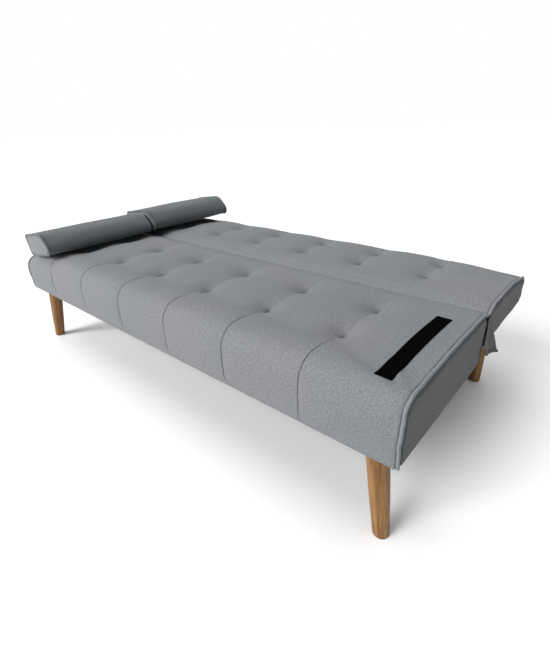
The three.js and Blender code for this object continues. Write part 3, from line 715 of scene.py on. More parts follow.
# %% [markdown]
# ## Sewing the two covers
# Each cover is made twice. The coarse draft starts with shallow tufts that are pulled down while it fills,
# and the fine cover comes from the formula at its full depth. The draft's difference is laid over the fine
# one, so the cover has both a crisp seam and cloth that has really been stretched. The seat moves as one
# piece.

# %% Tufted covers
FINE_STEP = 0.0065
COARSE_STEP = 0.0125
DRAFT_CROWN = 0.002
DRAFT_DEPTH = 0.010
COVER_PRESSURE = 2.5
COVER_CAP = 0.0045


def draft_move(name, corners, around, first, last, tufts, at):
    """Settles a coarse cover and reads how far it moved at every station and outline place of the fine one.
    What is hidden is held fully, the tufts by the depth of their funnel, and a seam lightly."""
    rough, rough_at, rough_corner = rounded_outline(corners, int(around / COARSE_STEP))
    knots = np.linspace(-END, END, 1 + 2 * int(END / COARSE_STEP))
    args = (rough, rough_at, rough_corner, first, last, knots, tufts)
    before, free, near = cover_relief(*args, DRAFT_CROWN, DRAFT_DEPTH, False)
    after = cover_relief(*args, CROWN, TUFT_DEPTH, False)[0]
    funnel = cover_relief(*args, 0.0, 1.0, False)[0] - cover_relief(*args, 0.0, 0.0, False)[0]
    hold = np.broadcast_to(1 - free[:, None], before.shape)
    hold = np.maximum(hold, np.clip(-funnel * 2.0 - 0.35, 0, 1))
    hold = np.maximum(hold, 0.25 * (near < COARSE_STEP * 0.6)[None])
    hold[:, [0, -1]] = 1
    start = cover_points(rough, knots, before)
    pulled = cover_points(rough, knots, after)
    move = settle(name + "_draft", start, pulled, hold.T, COVER_PRESSURE, COVER_CAP)
    along = cubic_weights(stations, knots, False)
    round_it = cubic_weights(at, rough_at, True)
    return np.einsum("ai,ijk,bj->abk", along, move, round_it)


def seam_and_tuft_shade(outline, outside, gap, tufts):
    """Painted shade: 1 on a stitch line, fading over two millimetres, fainter on the top than on the front,
    and a dark spot of painted shade in each tuft's hole, where the thread goes in."""
    faint = 1 - 0.72 * smooth((outline[:, 0] - FRONT - 0.05) / 0.16)
    seam = (outside * faint)[None] * np.exp(-(gap / 0.0017) ** 2)[:, None]
    for place in tufts:
        off = np.hypot(gap[:, None] / 0.006, (outline[None, :, 0] - place) / 0.011)
        seam = np.maximum(seam, 1.25 * outside[None] * (outline[None, :, 1] > TOP - 0.05) * np.exp(-off ** 2))
    return seam


def tufted_cover(name, corners, first, last, tufts):
    """A fine cover from the formula, with the settled difference of a coarse one laid over it, then the
    sag. Gives the piece and its points."""
    around = float(rounded_outline(corners, 64)[2][-1]) + 0.08
    outline, at, corner_at = rounded_outline(corners, int(around / FINE_STEP))
    relief, outside, gap = cover_relief(
        outline, at, corner_at, first, last, stations, tufts, CROWN, TUFT_DEPTH, True)
    points = cover_points(outline, stations, relief)
    points += draft_move(name, corners, around, first, last, tufts, at)
    points = droop(points)
    seam = seam_and_tuft_shade(outline, outside, gap, tufts)
    piece = grid_mesh(name, points, ring=True, ends=True, material=cover_linen, seam=seam)
    print(name, points.shape[0] * points.shape[1], "points, volume", round(abs(volume(points)), 4))
    return piece, points


seat_cover, seat_points = tufted_cover("seat_cover", seat_corners, *SEAT_RUN, SEAT_TUFTS)
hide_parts("seat_cushion")
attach(seat_cover, "seat")
back_cover = tufted_cover("back_cover", back_corners, *BACK_RUN, BACK_TUFTS)[0]
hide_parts("back_cushion")
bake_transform(back_cover)

# %% [markdown]
# ## Piping
# Piping is a cord wrapped in a strip of the same cloth and sewn into the seam between the cover and the end
# panel. A curve with a bevel would do, but its ends are open, so the tube is a circle carried along the
# cover's own outline: at each step the circle stands square to the path. The path is the outside run of the
# outline, moved in by a little less than the piping's radius, so that half of the cord shows.

# %% A tube and the path of the piping
def tube(path, radius, sides=14, taper=0.0):
    """A circle of the radius at every path point, spanned by two axes square to the path's direction. taper
    is the share of the radius that is left at both ends."""
    along = np.gradient(path, axis=0)
    along /= np.linalg.norm(along, axis=1, keepdims=True)
    across = np.cross(along, np.array([1.0, 0.0, 0.0]))
    across /= np.linalg.norm(across, axis=1, keepdims=True) + 1e-12
    third = np.cross(along, across)
    a = np.linspace(0, 2 * np.pi, sides, endpoint=False)
    size = radius * np.ones(len(path))
    if taper:
        size[[0, -1]] = radius * taper
    circle = np.cos(a)[None, :, None] * across[:, None] + np.sin(a)[None, :, None] * third[:, None]
    return path[:, None] + circle * size[:, None, None]


CREASE_STOP = 0.005
CREASE_GAP = 0.0004


def side_outline(corners, first, last, inset, step=0.006):
    """The run of a cover's outline from one corner to another, moved inwards by inset. It stops a little
    short of a corner at the hinge, and piping then has one more point beside the middle of the crease."""
    outline, at, corner_at = rounded_outline(corners, 900)
    outline = outline - outline_normals(outline) * inset
    start = corner_at[first] + (CREASE_STOP if first == BACK_RUN[0] else 0)
    end = corner_at[last] - (CREASE_STOP if first == SEAT_RUN[0] else 0)
    where = np.linspace(start, end, int((end - start) / step))
    run = np.stack([np.interp(where, at, outline[:, i]) for i in (0, 1)], axis=1)
    if first == BACK_RUN[0]:
        run = np.concatenate([[[CREASE_Y + CREASE_GAP, run[0, 1] - 0.001]], run])
    elif last == SEAT_RUN[1]:
        run = np.concatenate([run, [[CREASE_Y - CREASE_GAP, run[-1, 1] - 0.001]]])
    return run


print("run of the piping on the seat:", len(side_outline(seat_corners, *SEAT_RUN, 0.004)), "points")

# %% [markdown]
# ## Four lengths of piping
# Hand-sewn piping is never quite straight, so two slow waves of half a millimetre are added to its path. It
# takes the same sag as the covers. The seat's two lengths ride on the seat.

# %% Piping along the covers' ends
PIPE_X = (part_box("seat_piping_right")[0].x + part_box("seat_piping_right")[1].x) / 2
PIPE_R = 0.0043


def piping(name, corners, first, last, side):
    """A tube along the cover's end. Its path wavers by two sines of its own length, in every direction."""
    yz = side_outline(corners, first, last, PIPE_R * 0.95)
    s = steps_along(yz[:, None], 0)
    waver = 0.0006 * np.sin(s * 61 + side) + 0.0004 * np.sin(s * 143 + 2)
    path = droop(np.column_stack([side * (PIPE_X + waver), yz + waver[:, None]]))
    # The cord's lighter linen is a painted highlight.
    piece = grid_mesh(name, tube(path, PIPE_R, taper=0.93), ring=True, ends=True, material=piping_painted_highlight_linen)
    return piece


for side_name, side in (("left", -1), ("right", 1)):
    pipe = piping("seat_welt_" + side_name, seat_corners, *SEAT_RUN, side)
    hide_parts("seat_piping_" + side_name)
    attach(pipe, "seat")
    pipe = piping("back_welt_" + side_name, back_corners, *BACK_RUN, side)
    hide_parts("back_piping_" + side_name)
    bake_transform(pipe)
print("piping radius", PIPE_R, "m, four lengths")

# %% [markdown]
# ## A plate from two grids
# End panels, hook tape and gussets are all thin: an outer face, an inner face and a rim. Solidify would
# give a plain sheet its thickness, but here the two faces differ, because the outer one bulges and the
# inner one is flat. So a plate is two grids of one size with their rims joined.

# %% Plates
def plate_mesh(name, outer, inner, material):
    """Two grids of one size, joined round their rims. The outer one faces out, the inner one is turned
    over."""
    rows, columns = outer.shape[:2]
    index = np.arange(rows * columns).reshape(rows, columns)
    other = index + rows * columns
    front = np.stack([index[:-1, :-1], index[:-1, 1:], index[1:, 1:], index[1:, :-1]], axis=2).reshape(-1, 4)
    rear = np.stack([other[:-1, :-1], other[1:, :-1], other[1:, 1:], other[:-1, 1:]], axis=2).reshape(-1, 4)
    rim = np.concatenate([index[0, :-1], index[:-1, -1], index[-1, :0:-1], index[:0:-1, 0]])
    nxt = np.roll(rim, -1)
    side = np.stack([nxt, rim, rim + rows * columns, nxt + rows * columns], axis=1)
    points = np.concatenate([outer.reshape(-1, 3), inner.reshape(-1, 3)])
    faces = np.concatenate([front, rear, side])
    vv, uu = np.meshgrid(steps_along(outer, 0), steps_along(outer, 1), indexing="ij")
    flat = np.tile(np.stack([uu, vv], axis=2).reshape(-1, 2), (2, 1))
    mesh = bpy.data.meshes.new(name)
    mesh.from_pydata(points.tolist(), [], faces.tolist())
    mesh.uv_layers.new(name="cloth").data.foreach_set("uv", flat[faces.ravel()].astype(np.float32).ravel())
    mesh.polygons.foreach_set("use_smooth", np.ones(len(faces), bool))
    mesh.materials.append(material)
    mesh.update()
    piece = bpy.data.objects.new(name, mesh)
    bpy.context.scene.collection.objects.link(piece)
    return piece


print("a plate joins two grids; the cloth map is the same on both faces")

# %% [markdown]
# ## End panels
# Each half is closed by an end panel: a piece of the same cloth over thin foam, drawn in under the piping
# all round, so that its middle stands a few millimetres proud. Its columns start on the outline and run
# down to the bottom edge, which gives a grid that fits the curved top and the straight bottom alike. Its
# linen is a darker copy of the cover's, which is painted shade for the ends that face away from the light.

# %% End panels
PANEL_BULGE = 0.0085
PANEL_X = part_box("seat_side_cover_right")[0].x


def rim_panel(name, corners, side, bottom):
    """Columns go round the outline under the piping, and rows go from there down to the bottom edge. The face
    stands out by the bulge, plus a faint ripple, times a rounded step of the distance from the rim."""
    run = side_outline(corners, *PANEL_RUN, PIPE_R * 1.2, 0.005)
    s = np.linspace(0, 1, len(run))
    foot = np.column_stack([run[0, 0] + (run[-1, 0] - run[0, 0]) * s, np.full_like(s, bottom)])
    t = np.linspace(0, 1, 36) ** 1.25
    yz = run[None] * (1 - t)[:, None, None] + foot[None] * t[:, None, None]
    inward = np.linalg.norm(yz - run[None], axis=2)
    edge = np.minimum(inward, np.minimum(s, 1 - s)[None] * (run[-1, 0] - run[0, 0]))
    low = np.clip((yz[:, :, 1] - bottom) / 0.012, 0, 1)
    stand = smooth(edge / 0.022) * (0.35 + 0.65 * np.sqrt(low))
    ripple = 0.0009 * np.sin(38 * yz[:, :, 0] + 21 * yz[:, :, 1]) * np.sin(17 * yz[:, :, 1] + 2)
    outer_x = PANEL_X + 0.001 + (PANEL_BULGE + ripple) * stand
    inner_x = np.full_like(outer_x, PANEL_X)
    outer = droop(np.dstack([side * outer_x, yz]))
    inner = droop(np.dstack([side * inner_x, yz]))
    if side > 0:
        outer, inner = outer[:, ::-1], inner[:, ::-1]
    # The darker linen is painted shade on the end panel.
    piece = plate_mesh(name, outer, inner, end_painted_shade_linen)
    return piece


for side_name, side in (("left", -1), ("right", 1)):
    panel = rim_panel("seat_end_panel_" + side_name, seat_corners, side, SEAT_BOTTOM + 0.001)
    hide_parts("seat_side_cover_" + side_name)
    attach(panel, "seat")
    panel = rim_panel("back_end_panel_" + side_name, back_corners, side, BACK_BOTTOM + 0.001)
    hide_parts("back_side_cover_" + side_name)
    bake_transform(panel)
print("four end panels with a bulge of", PANEL_BULGE, "m")

# %% [markdown]
# ## Black hooks
# The hook half of a touch fastener is thousands of small nylon hooks, which swallow light. Each hook could
# be modelled, but from a step away they only read as a matt black with a fine tooth, so a bump and two
# blacks do.

# %% Hook cloth
def hook_cloth():
    """Matt black: rows of hooks as two crossed waves, and a grain of two blacks on top."""
    material = paint("hook_tape_black", (0.001, 0.001, 0.001), 1.0, specular_ior_level=0.02)
    tree = material.node_tree
    cloth = node(tree, "ShaderNodeUVMap", uv_map="cloth").outputs["UV"]
    rows = maths(tree, "MULTIPLY", threads(tree, cloth, "X", 0.0016), threads(tree, cloth, "Y", 0.0016))
    grain = slubs(tree, cloth, 900, 900)
    height = maths(tree, "ADD", rows, grain)
    bump = node(tree, "ShaderNodeBump", Strength=0.6, Distance=0.0006)
    link(tree, height, bump.inputs["Height"])
    link(tree, bump.outputs[0], tree.nodes["Principled BSDF"].inputs["Normal"])
    colour = ramp(tree, grain, (0.3, (0.0004, 0.0004, 0.0005)), (0.7, (0.0022, 0.0022, 0.0024)))
    link(tree, colour, tree.nodes["Principled BSDF"].inputs["Base Color"])
    return material


hook_black = hook_cloth()
print("finish:", hook_black.name)

# %% [markdown]
# ## Hook tape on the seat
# A strip of hook tape is sewn on each end of the seat, to hold a bolster. It could be a flat plate, but the
# seat is crowned and tufted there. The band reads its height off the cover's own grid under it and is
# lifted by the tape's thickness, and since tape is stiff across its width, it evens out the cover's slope a
# little.

# %% Hook strips
TAPE_LOW = 0.0003
TAPE_HIGH = 0.0017


def top_rows(points, low_y, high_y, low_z):
    """The columns of a cover's grid that lie on its top between two depths, front to rear."""
    middle = points[points.shape[0] // 2]
    on_top = np.nonzero((middle[:, 1] > low_y) & (middle[:, 1] < high_y) & (middle[:, 2] > low_z))[0]
    return on_top[np.argsort(middle[on_top, 1])]


def tape_on(name, points, x, low, high, material):
    """A band over the cover's own points. Its height is read by straight lines along the bed and across it,
    then moved four tenths of the way to the mean over its width."""
    across = np.linspace(low.x, high.x, 9)
    rows = top_rows(points, low.y, high.y, low.z - 0.03)
    y = np.linspace(low.y, high.y, 70)
    middle = np.stack([np.interp(across, x, points[:, r, 2]) for r in rows])
    depth = points[points.shape[0] // 2, rows, 1]
    z = np.stack([np.interp(y, depth, middle[:, i]) for i in range(len(across))], axis=1)
    yy, xx = np.meshgrid(y, across, indexing="ij")
    z = z - (z - z.mean(axis=1, keepdims=True)) * 0.4
    lower = np.dstack([xx, yy, z + TAPE_LOW])
    upper = np.dstack([xx, yy, z + TAPE_HIGH])
    return plate_mesh(name, upper, lower, material)


for side_name in ("left", "right"):
    node_name = "hook_tape_" + side_name
    low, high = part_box(node_name)
    tape = tape_on("hook_strip_" + side_name, seat_points, stations, low, high, hook_black)
    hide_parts(node_name)
    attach(tape, "seat")
print("hook tape", round(high.x - low.x, 3), "by", round(high.y - low.y, 3), "m")

# %% [markdown]
# ## Hinge gussets
# When the back swings up, the gap at the end of the hinge would show the ratchet. A loose flap of the cover
# cloth hangs over it, gathered at the piping, spreading like half a bell and closed by a hem. Draping it by
# simulation is possible, but a gathered flap is well described by waves that grow from nothing at the top
# to full depth at the hem, so it is written as one formula.

# %% Gussets
CLOTH_THICK = 0.0014
FLAP_X = 0.9006
FLAP_NEAREST = 0.8998


def gusset(name, side):
    """Columns run from the flap's front edge to its rear one, rows from the piping down to the hem. The two
    edges are straight runs through four places each. Between them the cloth stands out by slow folds that
    grow downwards, creased by finer ones, and swells over the hem in the last tenth."""
    t, c = np.meshgrid(np.linspace(0, 1, 64), np.linspace(0, 1, 70), indexing="ij")
    knots = np.array([0, 0.35, 0.7, 1.0])
    near_y = np.interp(t, knots, [0.5215, 0.514, 0.507, 0.503])
    near_z = np.interp(t, knots, [0.407, 0.372, 0.334, 0.300])
    far_y = np.interp(t, knots, [0.552, 0.583, 0.596, 0.612])
    far_z = np.interp(t, knots, [0.400, 0.347, 0.309, 0.267])
    y = FRONT + near_y + (far_y - near_y) * c
    z = near_z + (far_z - near_z) * c - 0.006 * np.sin(np.pi * c) * t + 0.0016 * np.sin(9 * c + 1.0) * t ** 2
    fold = 0.0050 * np.sin(np.pi * (2.1 * c + 0.2)) * t ** 1.2
    fold += 0.0026 * np.sin(np.pi * (5.2 * c + 0.9 * t)) * t * (1.15 - t)
    crease = 0.0012 * np.sin(23 * t + 5 * c) * np.sin(np.pi * c)
    hem = np.clip((t - 0.91) / 0.09, 0, 1)
    x = FLAP_X + 0.019 * t ** 1.15 * (0.3 + 0.7 * c) + fold + crease + 0.0042 * np.sin(np.pi * hem) ** 0.7
    x = np.maximum(x, FLAP_NEAREST)
    outer = np.dstack([side * x, y, z])
    inner = outer - np.array([side * CLOTH_THICK, 0, 0])
    area = np.linalg.norm(np.cross(np.diff(outer, axis=0)[:, :-1], np.diff(outer, axis=1)[:-1]), axis=2).sum()
    if side < 0:
        outer, inner = outer[:, ::-1], inner[:, ::-1]
    # The flap takes the darker end-panel linen, which is painted shade.
    piece = plate_mesh(name, outer[::-1], inner[::-1], end_painted_shade_linen)
    return piece, area


for side_name, side in (("left", -1), ("right", 1)):
    flap, area = gusset("gusset_flap_" + side_name, side)
    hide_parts("hinge_gusset_" + side_name)
    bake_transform(flap)
    print(flap.name, "cloth area", round(area, 4), "square metres")

# %% [markdown]
# ## A bolster's shape
# Two small bolsters lie end to end. Seen from its end, a bolster is a slanted half round, flat on the
# outside. The body is a ring grid: one rounded outline repeated along the bolster, a little fuller in the
# middle, then drawn in over a cap at each end. A half sphere would close the end too, but a flat cap with a
# soft edge is how a boxed bolster is sewn.

# %% Bolster outline and grid
CAP_SHRINK = np.array([0.985, 0.95, 0.88, 0.76, 0.60, 0.42, 0.24, 0.08])
CAP_ROWS = len(CAP_SHRINK)


def bolster_outline(low, high, sink, plump):
    """Five rounded corners in x and z. sink moves them all down, where the bolster beds into the cloth, and
    plump moves the inner ones further in and lifts the top by a quarter as much."""
    x = low.x - 0.003
    z = low.z - 0.001 - sink
    top = high.z - 0.002 - sink
    return [
        (x + 0.024, z, 0.010), (x + 0.199 + plump, z + 0.028, 0.020), (x + 0.209 + plump, z + 0.056, 0.030),
        (x + 0.150 + plump, top + plump / 4, 0.055), (x + 0.0005, top - 0.022 + plump / 4, 0.012),
    ]


def bolster_grid(corners, y0, y1, count, rows, swell, cap):
    """The outline at each place along the bolster, swollen by the root of a half sine, then rows that shrink
    towards the outline's middle while they move out over a quarter round of height cap."""
    outline, at, corner_at = rounded_outline(corners, count)
    centre = outline.mean(0)
    grow = 1 + swell * np.sqrt(np.clip(np.sin(np.pi * rows), 0, 1))
    scale = np.concatenate([CAP_SHRINK[::-1], grow, CAP_SHRINK])
    lift = cap * np.sqrt(1 - CAP_SHRINK ** 2)
    where = np.concatenate([y0 - lift[::-1], y0 + (y1 - y0) * rows, y1 + lift])
    xz = centre + (outline - centre)[None] * scale[:, None, None]
    points = np.dstack([xz[:, :, 0], np.broadcast_to(where[:, None], xz.shape[:2]), xz[:, :, 1]])
    return points, at, corner_at


print("a bolster's cap is", CAP_ROWS, "rows at each end")

# %% [markdown]
# ## Filling the bolsters
# A filled bolster is tight at its piped edges and swells between them, so its cloth settles by a short
# simulation like the covers': the piped edges are held fast, the long ridge more loosely, and pressure does
# the rest. The body is one mesh with two materials: the body and its piping take a darker copy of the linen
# as painted shade, and the caps take the seat's lighter linen as painted light on the ends that face the
# front.

# %% Bolster bodies
def filled_bolster(name, corners, y0, y1, rows, at):
    """How far a coarse bolster moves as it fills, read at every row between the caps of the fine one."""
    even = np.linspace(0, 1, 44)
    rough, rough_at, rough_corner = bolster_grid(corners, y0, y1, 60, even, 0.006, 0.004)
    hold = np.zeros(rough.shape[:2])
    hold[[CAP_ROWS - 1, CAP_ROWS, -CAP_ROWS - 1, -CAP_ROWS]] = 1
    ridge = np.abs(rough_at - rough_corner[-1]) < 0.008
    hold[:, ridge] = np.maximum(hold[:, ridge], 0.6)
    move = settle(name + "_draft", rough, rough, hold, 3.0, 0.007, 18.0)
    along = cubic_weights(rows, even, False)
    round_it = cubic_weights(at, rough_at, True)
    return np.einsum("ai,ijk,bj->abk", along, move[CAP_ROWS:-CAP_ROWS], round_it)


def bolster(name, node_name, y0, y1, sink, plump):
    """The grid from y0 to y1 with the settled difference added, the caps in the cover's cloth. Gives the
    piece, its points, how far round the outline each column lies, and the same for the corners."""
    low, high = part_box(node_name)
    corners = bolster_outline(low, high, sink, plump)
    rows = np.unique(np.concatenate([np.linspace(0, 1, 60), [0.004, 0.010, 0.990, 0.996]]))
    points, at, corner_at = bolster_grid(corners, y0, y1, 150, rows, 0.020, 0.006)
    points[CAP_ROWS:-CAP_ROWS] += filled_bolster(name, corners, y0, y1, rows, at)
    # Painted shade in the seam attribute: the rows beside each cap's piping are darkened.
    edge_rows = CAP_ROWS + np.arange(-2, 2)
    seam = np.zeros(points.shape[:2])
    seam[np.concatenate([edge_rows, -1 - edge_rows])] = 1.3
    piece = grid_mesh(name, points, ring=True, ends=True, material=bolster_painted_shade_linen, seam=seam)
    # Painted light: the caps take the seat's lighter linen, while the body keeps the darker copy.
    piece.data.materials.append(cover_linen)
    middle = (y0 + y1) / 2
    half = (y1 - y0) / 2
    on_cap = np.abs(np.array([p.center.y for p in piece.data.polygons]) - middle) > half + 0.0004
    piece.data.polygons.foreach_set("material_index", on_cap.astype(np.int32))
    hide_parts(node_name)
    print(name, "volume", round(abs(volume(points)), 5))
    return piece, points, at, corner_at


print("bolsters are filled by", "simulation")

# %% [markdown]
# ## Piping round the bolsters
# The piping goes once round each cap and once along the outer ridge. Round a cap it has no ends, so its
# direction is taken round the loop, and the first and last circles are merged into one. The path is a row
# or a column of the bolster's own points, so the cord follows the cloth after it has settled.

# %% Bolsters and their piping
def ring_tube(name, loop, radius, material, sides=10):
    """A circle at every point of a closed path, spanned by two axes square to its direction. The first circle
    is repeated at the end and merged, so the cloth map doesn't run backwards over the last step."""
    along = np.roll(loop, -1, 0) - np.roll(loop, 1, 0)
    along /= np.linalg.norm(along, axis=1, keepdims=True)
    across = np.cross(along, np.array([0.0, 1.0, 0.0]))
    across /= np.linalg.norm(across, axis=1, keepdims=True)
    third = np.cross(along, across)
    a = np.linspace(0, 2 * np.pi, sides, endpoint=False)
    circle = np.cos(a)[None, :, None] * across[:, None] + np.sin(a)[None, :, None] * third[:, None]
    points = loop[:, None] + radius * circle
    piece = grid_mesh(name, np.concatenate([points, points[:1]]), ring=True, material=material)
    work = bmesh.new()
    work.from_mesh(piece.data)
    bmesh.ops.remove_doubles(work, verts=work.verts, dist=1e-6)
    work.to_mesh(piece.data)
    work.free()
    return piece


WELT_R = 0.0036
for which, node_name, body, y0, y1, sink, plump in (
    ("front", "pillow_front", "front_pillow", FRONT + 0.006, FRONT + 0.482, 0.008, 0.0),
    ("rear", "pillow_rear", "rear_pillow", FRONT + 0.503, FRONT + 0.968, 0.003, 0.024),
):
    body_piece, points, at, corner_at = bolster("bolster_" + which, node_name, y0, y1, sink, plump)
    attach(body_piece, body)
    for end_name, row in (("near", CAP_ROWS), ("far", -CAP_ROWS - 1)):
        loop = points[row].copy()
        middle = loop.mean(0)
        loop += (loop - middle) / np.linalg.norm(loop - middle, axis=1, keepdims=True) * WELT_R * 0.35
        welt = ring_tube("bolster_welt_%s_%s" % (which, end_name), loop, WELT_R, bolster_painted_shade_linen)
        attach(welt, body)
    ridge = np.argmin(np.abs(at - corner_at[-1]))
    line = points[CAP_ROWS:-CAP_ROWS, ridge] + np.array([-0.0012, 0, 0.0012])
    welt = grid_mesh("bolster_welt_%s_ridge" % which, tube(line, WELT_R, 10), ring=True, ends=True,
                     material=bolster_painted_shade_linen)
    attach(welt, body)
print("bolsters with piped caps")

# %% [markdown]
# ## Wood grain
# Grain is long streaks with fine pores between them, so one noise is stretched along the grain and a finer
# one more still. A flat pattern would have to be wrapped round each leg, but noise in three dimensions is
# simply cut through by the wood's surface, as a real log's rings are. The same wood serves the legs and,
# with other numbers, the rails.

# %% Wood
def wood(name, pale, mid, dark, attribute=None, along=7.0, across=90.0):
    """Long streaks from noise stretched along the grain, and fine pores from a second one. Both read the
    given attribute, or the object's own place where there is none."""
    material = bpy.data.materials.new(name)
    material.use_nodes = True
    tree = material.node_tree
    shader = tree.nodes["Principled BSDF"]
    if attribute:
        place = node(tree, "ShaderNodeAttribute", attribute_name=attribute).outputs["Vector"]
    else:
        place = node(tree, "ShaderNodeTexCoord").outputs["Object"]
    streak_map = node(tree, "ShaderNodeMapping")
    streak_map.inputs["Scale"].default_value = (across, across, along)
    link(tree, place, streak_map.inputs["Vector"])
    streak = node(tree, "ShaderNodeTexNoise", Scale=1.0, Detail=4.0, Roughness=0.6, Distortion=0.7)
    link(tree, streak_map.outputs[0], streak.inputs["Vector"])
    pore_map = node(tree, "ShaderNodeMapping")
    pore_map.inputs["Scale"].default_value = (across * 9, across * 9, along * 5)
    link(tree, place, pore_map.inputs["Vector"])
    pore = node(tree, "ShaderNodeTexNoise", Scale=1.0, Detail=2.0)
    link(tree, pore_map.outputs[0], pore.inputs["Vector"])
    colour = ramp(tree, streak.outputs["Fac"], (0.30, dark), (0.48, mid), (0.68, pale))
    speck = maths(tree, "MULTIPLY_ADD", maths(tree, "SUBTRACT", pore.outputs["Fac"], 0.5), 1.1, 1.0)
    mixed = node(tree, "ShaderNodeVectorMath", operation="SCALE")
    link(tree, colour, mixed.inputs[0])
    link(tree, speck, mixed.inputs["Scale"])
    link(tree, mixed.outputs[0], shader.inputs["Base Color"])
    bump = node(tree, "ShaderNodeBump", Strength=0.12, Distance=0.0006)
    link(tree, pore.outputs["Fac"], bump.inputs["Height"])
    link(tree, bump.outputs[0], shader.inputs["Normal"])
    rough = maths(tree, "MULTIPLY_ADD", streak.outputs["Fac"], 0.2, 0.38)
    link(tree, rough, shader.inputs["Roughness"])
    shader.inputs["Specular IOR Level"].default_value = 0.25
    shader.inputs["Coat Weight"].default_value = 0.05
    shader.inputs["Coat Roughness"].default_value = 0.35
    return material


leg_wood = wood("turned_leg_wood", (0.32, 0.168, 0.058), (0.215, 0.102, 0.031), (0.105, 0.046, 0.014),
                "grain", 5.0, 60.0)
print("wood:", leg_wood.name)

# %% [markdown]
# ## Turned legs
# The legs are turned from hardwood, thicker at the top and splayed. A leg could be a cone that is tilted,
# but then its foot would stand on an edge. Here it is a circle that shrinks towards the foot and slides
# sideways as it goes down, so the foot stays flat, and the foot's edge is rounded over. Each point keeps
# its place in the leg's own upright frame in an attribute, so the grain runs along the leg whatever its
# splay.

# %% Legs
FOOT_R = 0.0205
LEG_TOP_R = 0.0285
FOOT_ROUND = 0.0036
ROUND_HEIGHT = 0.0045


def leg(name, node_name, side):
    """Radius grows from foot to top on a slight curve, less a quarter round at the foot, and the centre
    slides from foot to top. Front legs splay forwards and rear legs backwards."""
    low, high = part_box(node_name)
    front = "front" in node_name
    foot_x = max(abs(low.x), abs(high.x)) - FOOT_R
    top_x = min(abs(low.x), abs(high.x)) + LEG_TOP_R
    foot = np.array([side * foot_x, (low.y + FOOT_R) if front else (high.y - FOOT_R)])
    top = np.array([side * top_x, (high.y - LEG_TOP_R) if front else (low.y + LEG_TOP_R)])
    z = np.concatenate([[0, 0.0004, 0.0012, 0.0026, ROUND_HEIGHT], np.linspace(0.012, high.z, 44)])
    t = z / high.z
    radius = FOOT_R + (LEG_TOP_R - FOOT_R) * (t ** 0.9) + 0.0006 * np.sin(np.pi * t)
    below = 1 - np.clip(z / ROUND_HEIGHT, 0, 1)
    radius = radius - FOOT_ROUND * (1 - np.sqrt(np.clip(1 - below ** 2, 0, 1)))
    centre = foot + (top - foot) * t[:, None]
    a = np.linspace(0, 2 * np.pi, 64, endpoint=False)
    circle = np.stack([np.cos(a), np.sin(a)], axis=1)
    xy = centre[:, None] + radius[:, None, None] * circle[None]
    points = np.dstack([xy, np.broadcast_to(z[:, None], xy.shape[:2])])
    piece = grid_mesh(name, points, ring=True, ends=True, material=leg_wood)
    own = np.dstack([radius[:, None, None] * circle[None] + 0.31 * len(name) * side, points[:, :, 2]])
    grain = piece.data.attributes.new("grain", "FLOAT_VECTOR", "POINT")
    grain.data.foreach_set("vector", own.astype(np.float32).ravel())
    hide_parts(node_name)
    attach(piece, "seat")
    return piece


for end_name in ("front", "rear"):
    for side_name, side in (("left", -1), ("right", 1)):
        leg("turned_leg_%s_%s" % (end_name, side_name), "leg_%s_%s" % (end_name, side_name), side)
print("four turned legs")

# %% [markdown]
# ## Pressed fibre cloth
# The cloth on the undersides is not woven: fibres are laid at random and pressed together. A fine noise
# with the same size both ways gives its grain, in colour and in relief.

# %% Fibre cloth
def spun_cloth(name, colour):
    """Pressed fibre cloth: a fine irregular grain in colour and relief."""
    material = paint(name, colour, 0.95, specular_ior_level=0.2)
    tree = material.node_tree
    cloth = node(tree, "ShaderNodeUVMap", uv_map="cloth").outputs["UV"]
    grain = slubs(tree, cloth, 500, 500, 4.0)
    dark = tuple(c * 0.6 for c in colour)
    light = tuple(c * 1.5 for c in colour)
    shader = tree.nodes["Principled BSDF"]
    link(tree, ramp(tree, grain, (0.3, dark), (0.7, light)), shader.inputs["Base Color"])
    bump = node(tree, "ShaderNodeBump", Strength=0.4, Distance=0.0004)
    link(tree, grain, bump.inputs["Height"])
    link(tree, bump.outputs[0], shader.inputs["Normal"])
    return material


black_fibre = spun_cloth("black_dust_cloth", (0.018, 0.018, 0.019))
grey_fibre = spun_cloth("grey_back_cloth", (0.05, 0.052, 0.055))
print("fibre cloths:", black_fibre.name, grey_fibre.name)

# %% [markdown]
# ## Undersides
# Below, the seat is closed by a thin black dust cover stapled to the rails and cut away round the leg
# plates, and the back by a grey one. They are stretched sheets with a slight sag, so a flat grid is moved
# down a little in its middle, and Solidify gives it its thickness. The openings are made by deleting whole
# faces, which keeps the grid regular.

# %% Dust cover and back cover
SHEET_THICK = 0.0008
HOLE_MARGIN = 0.004


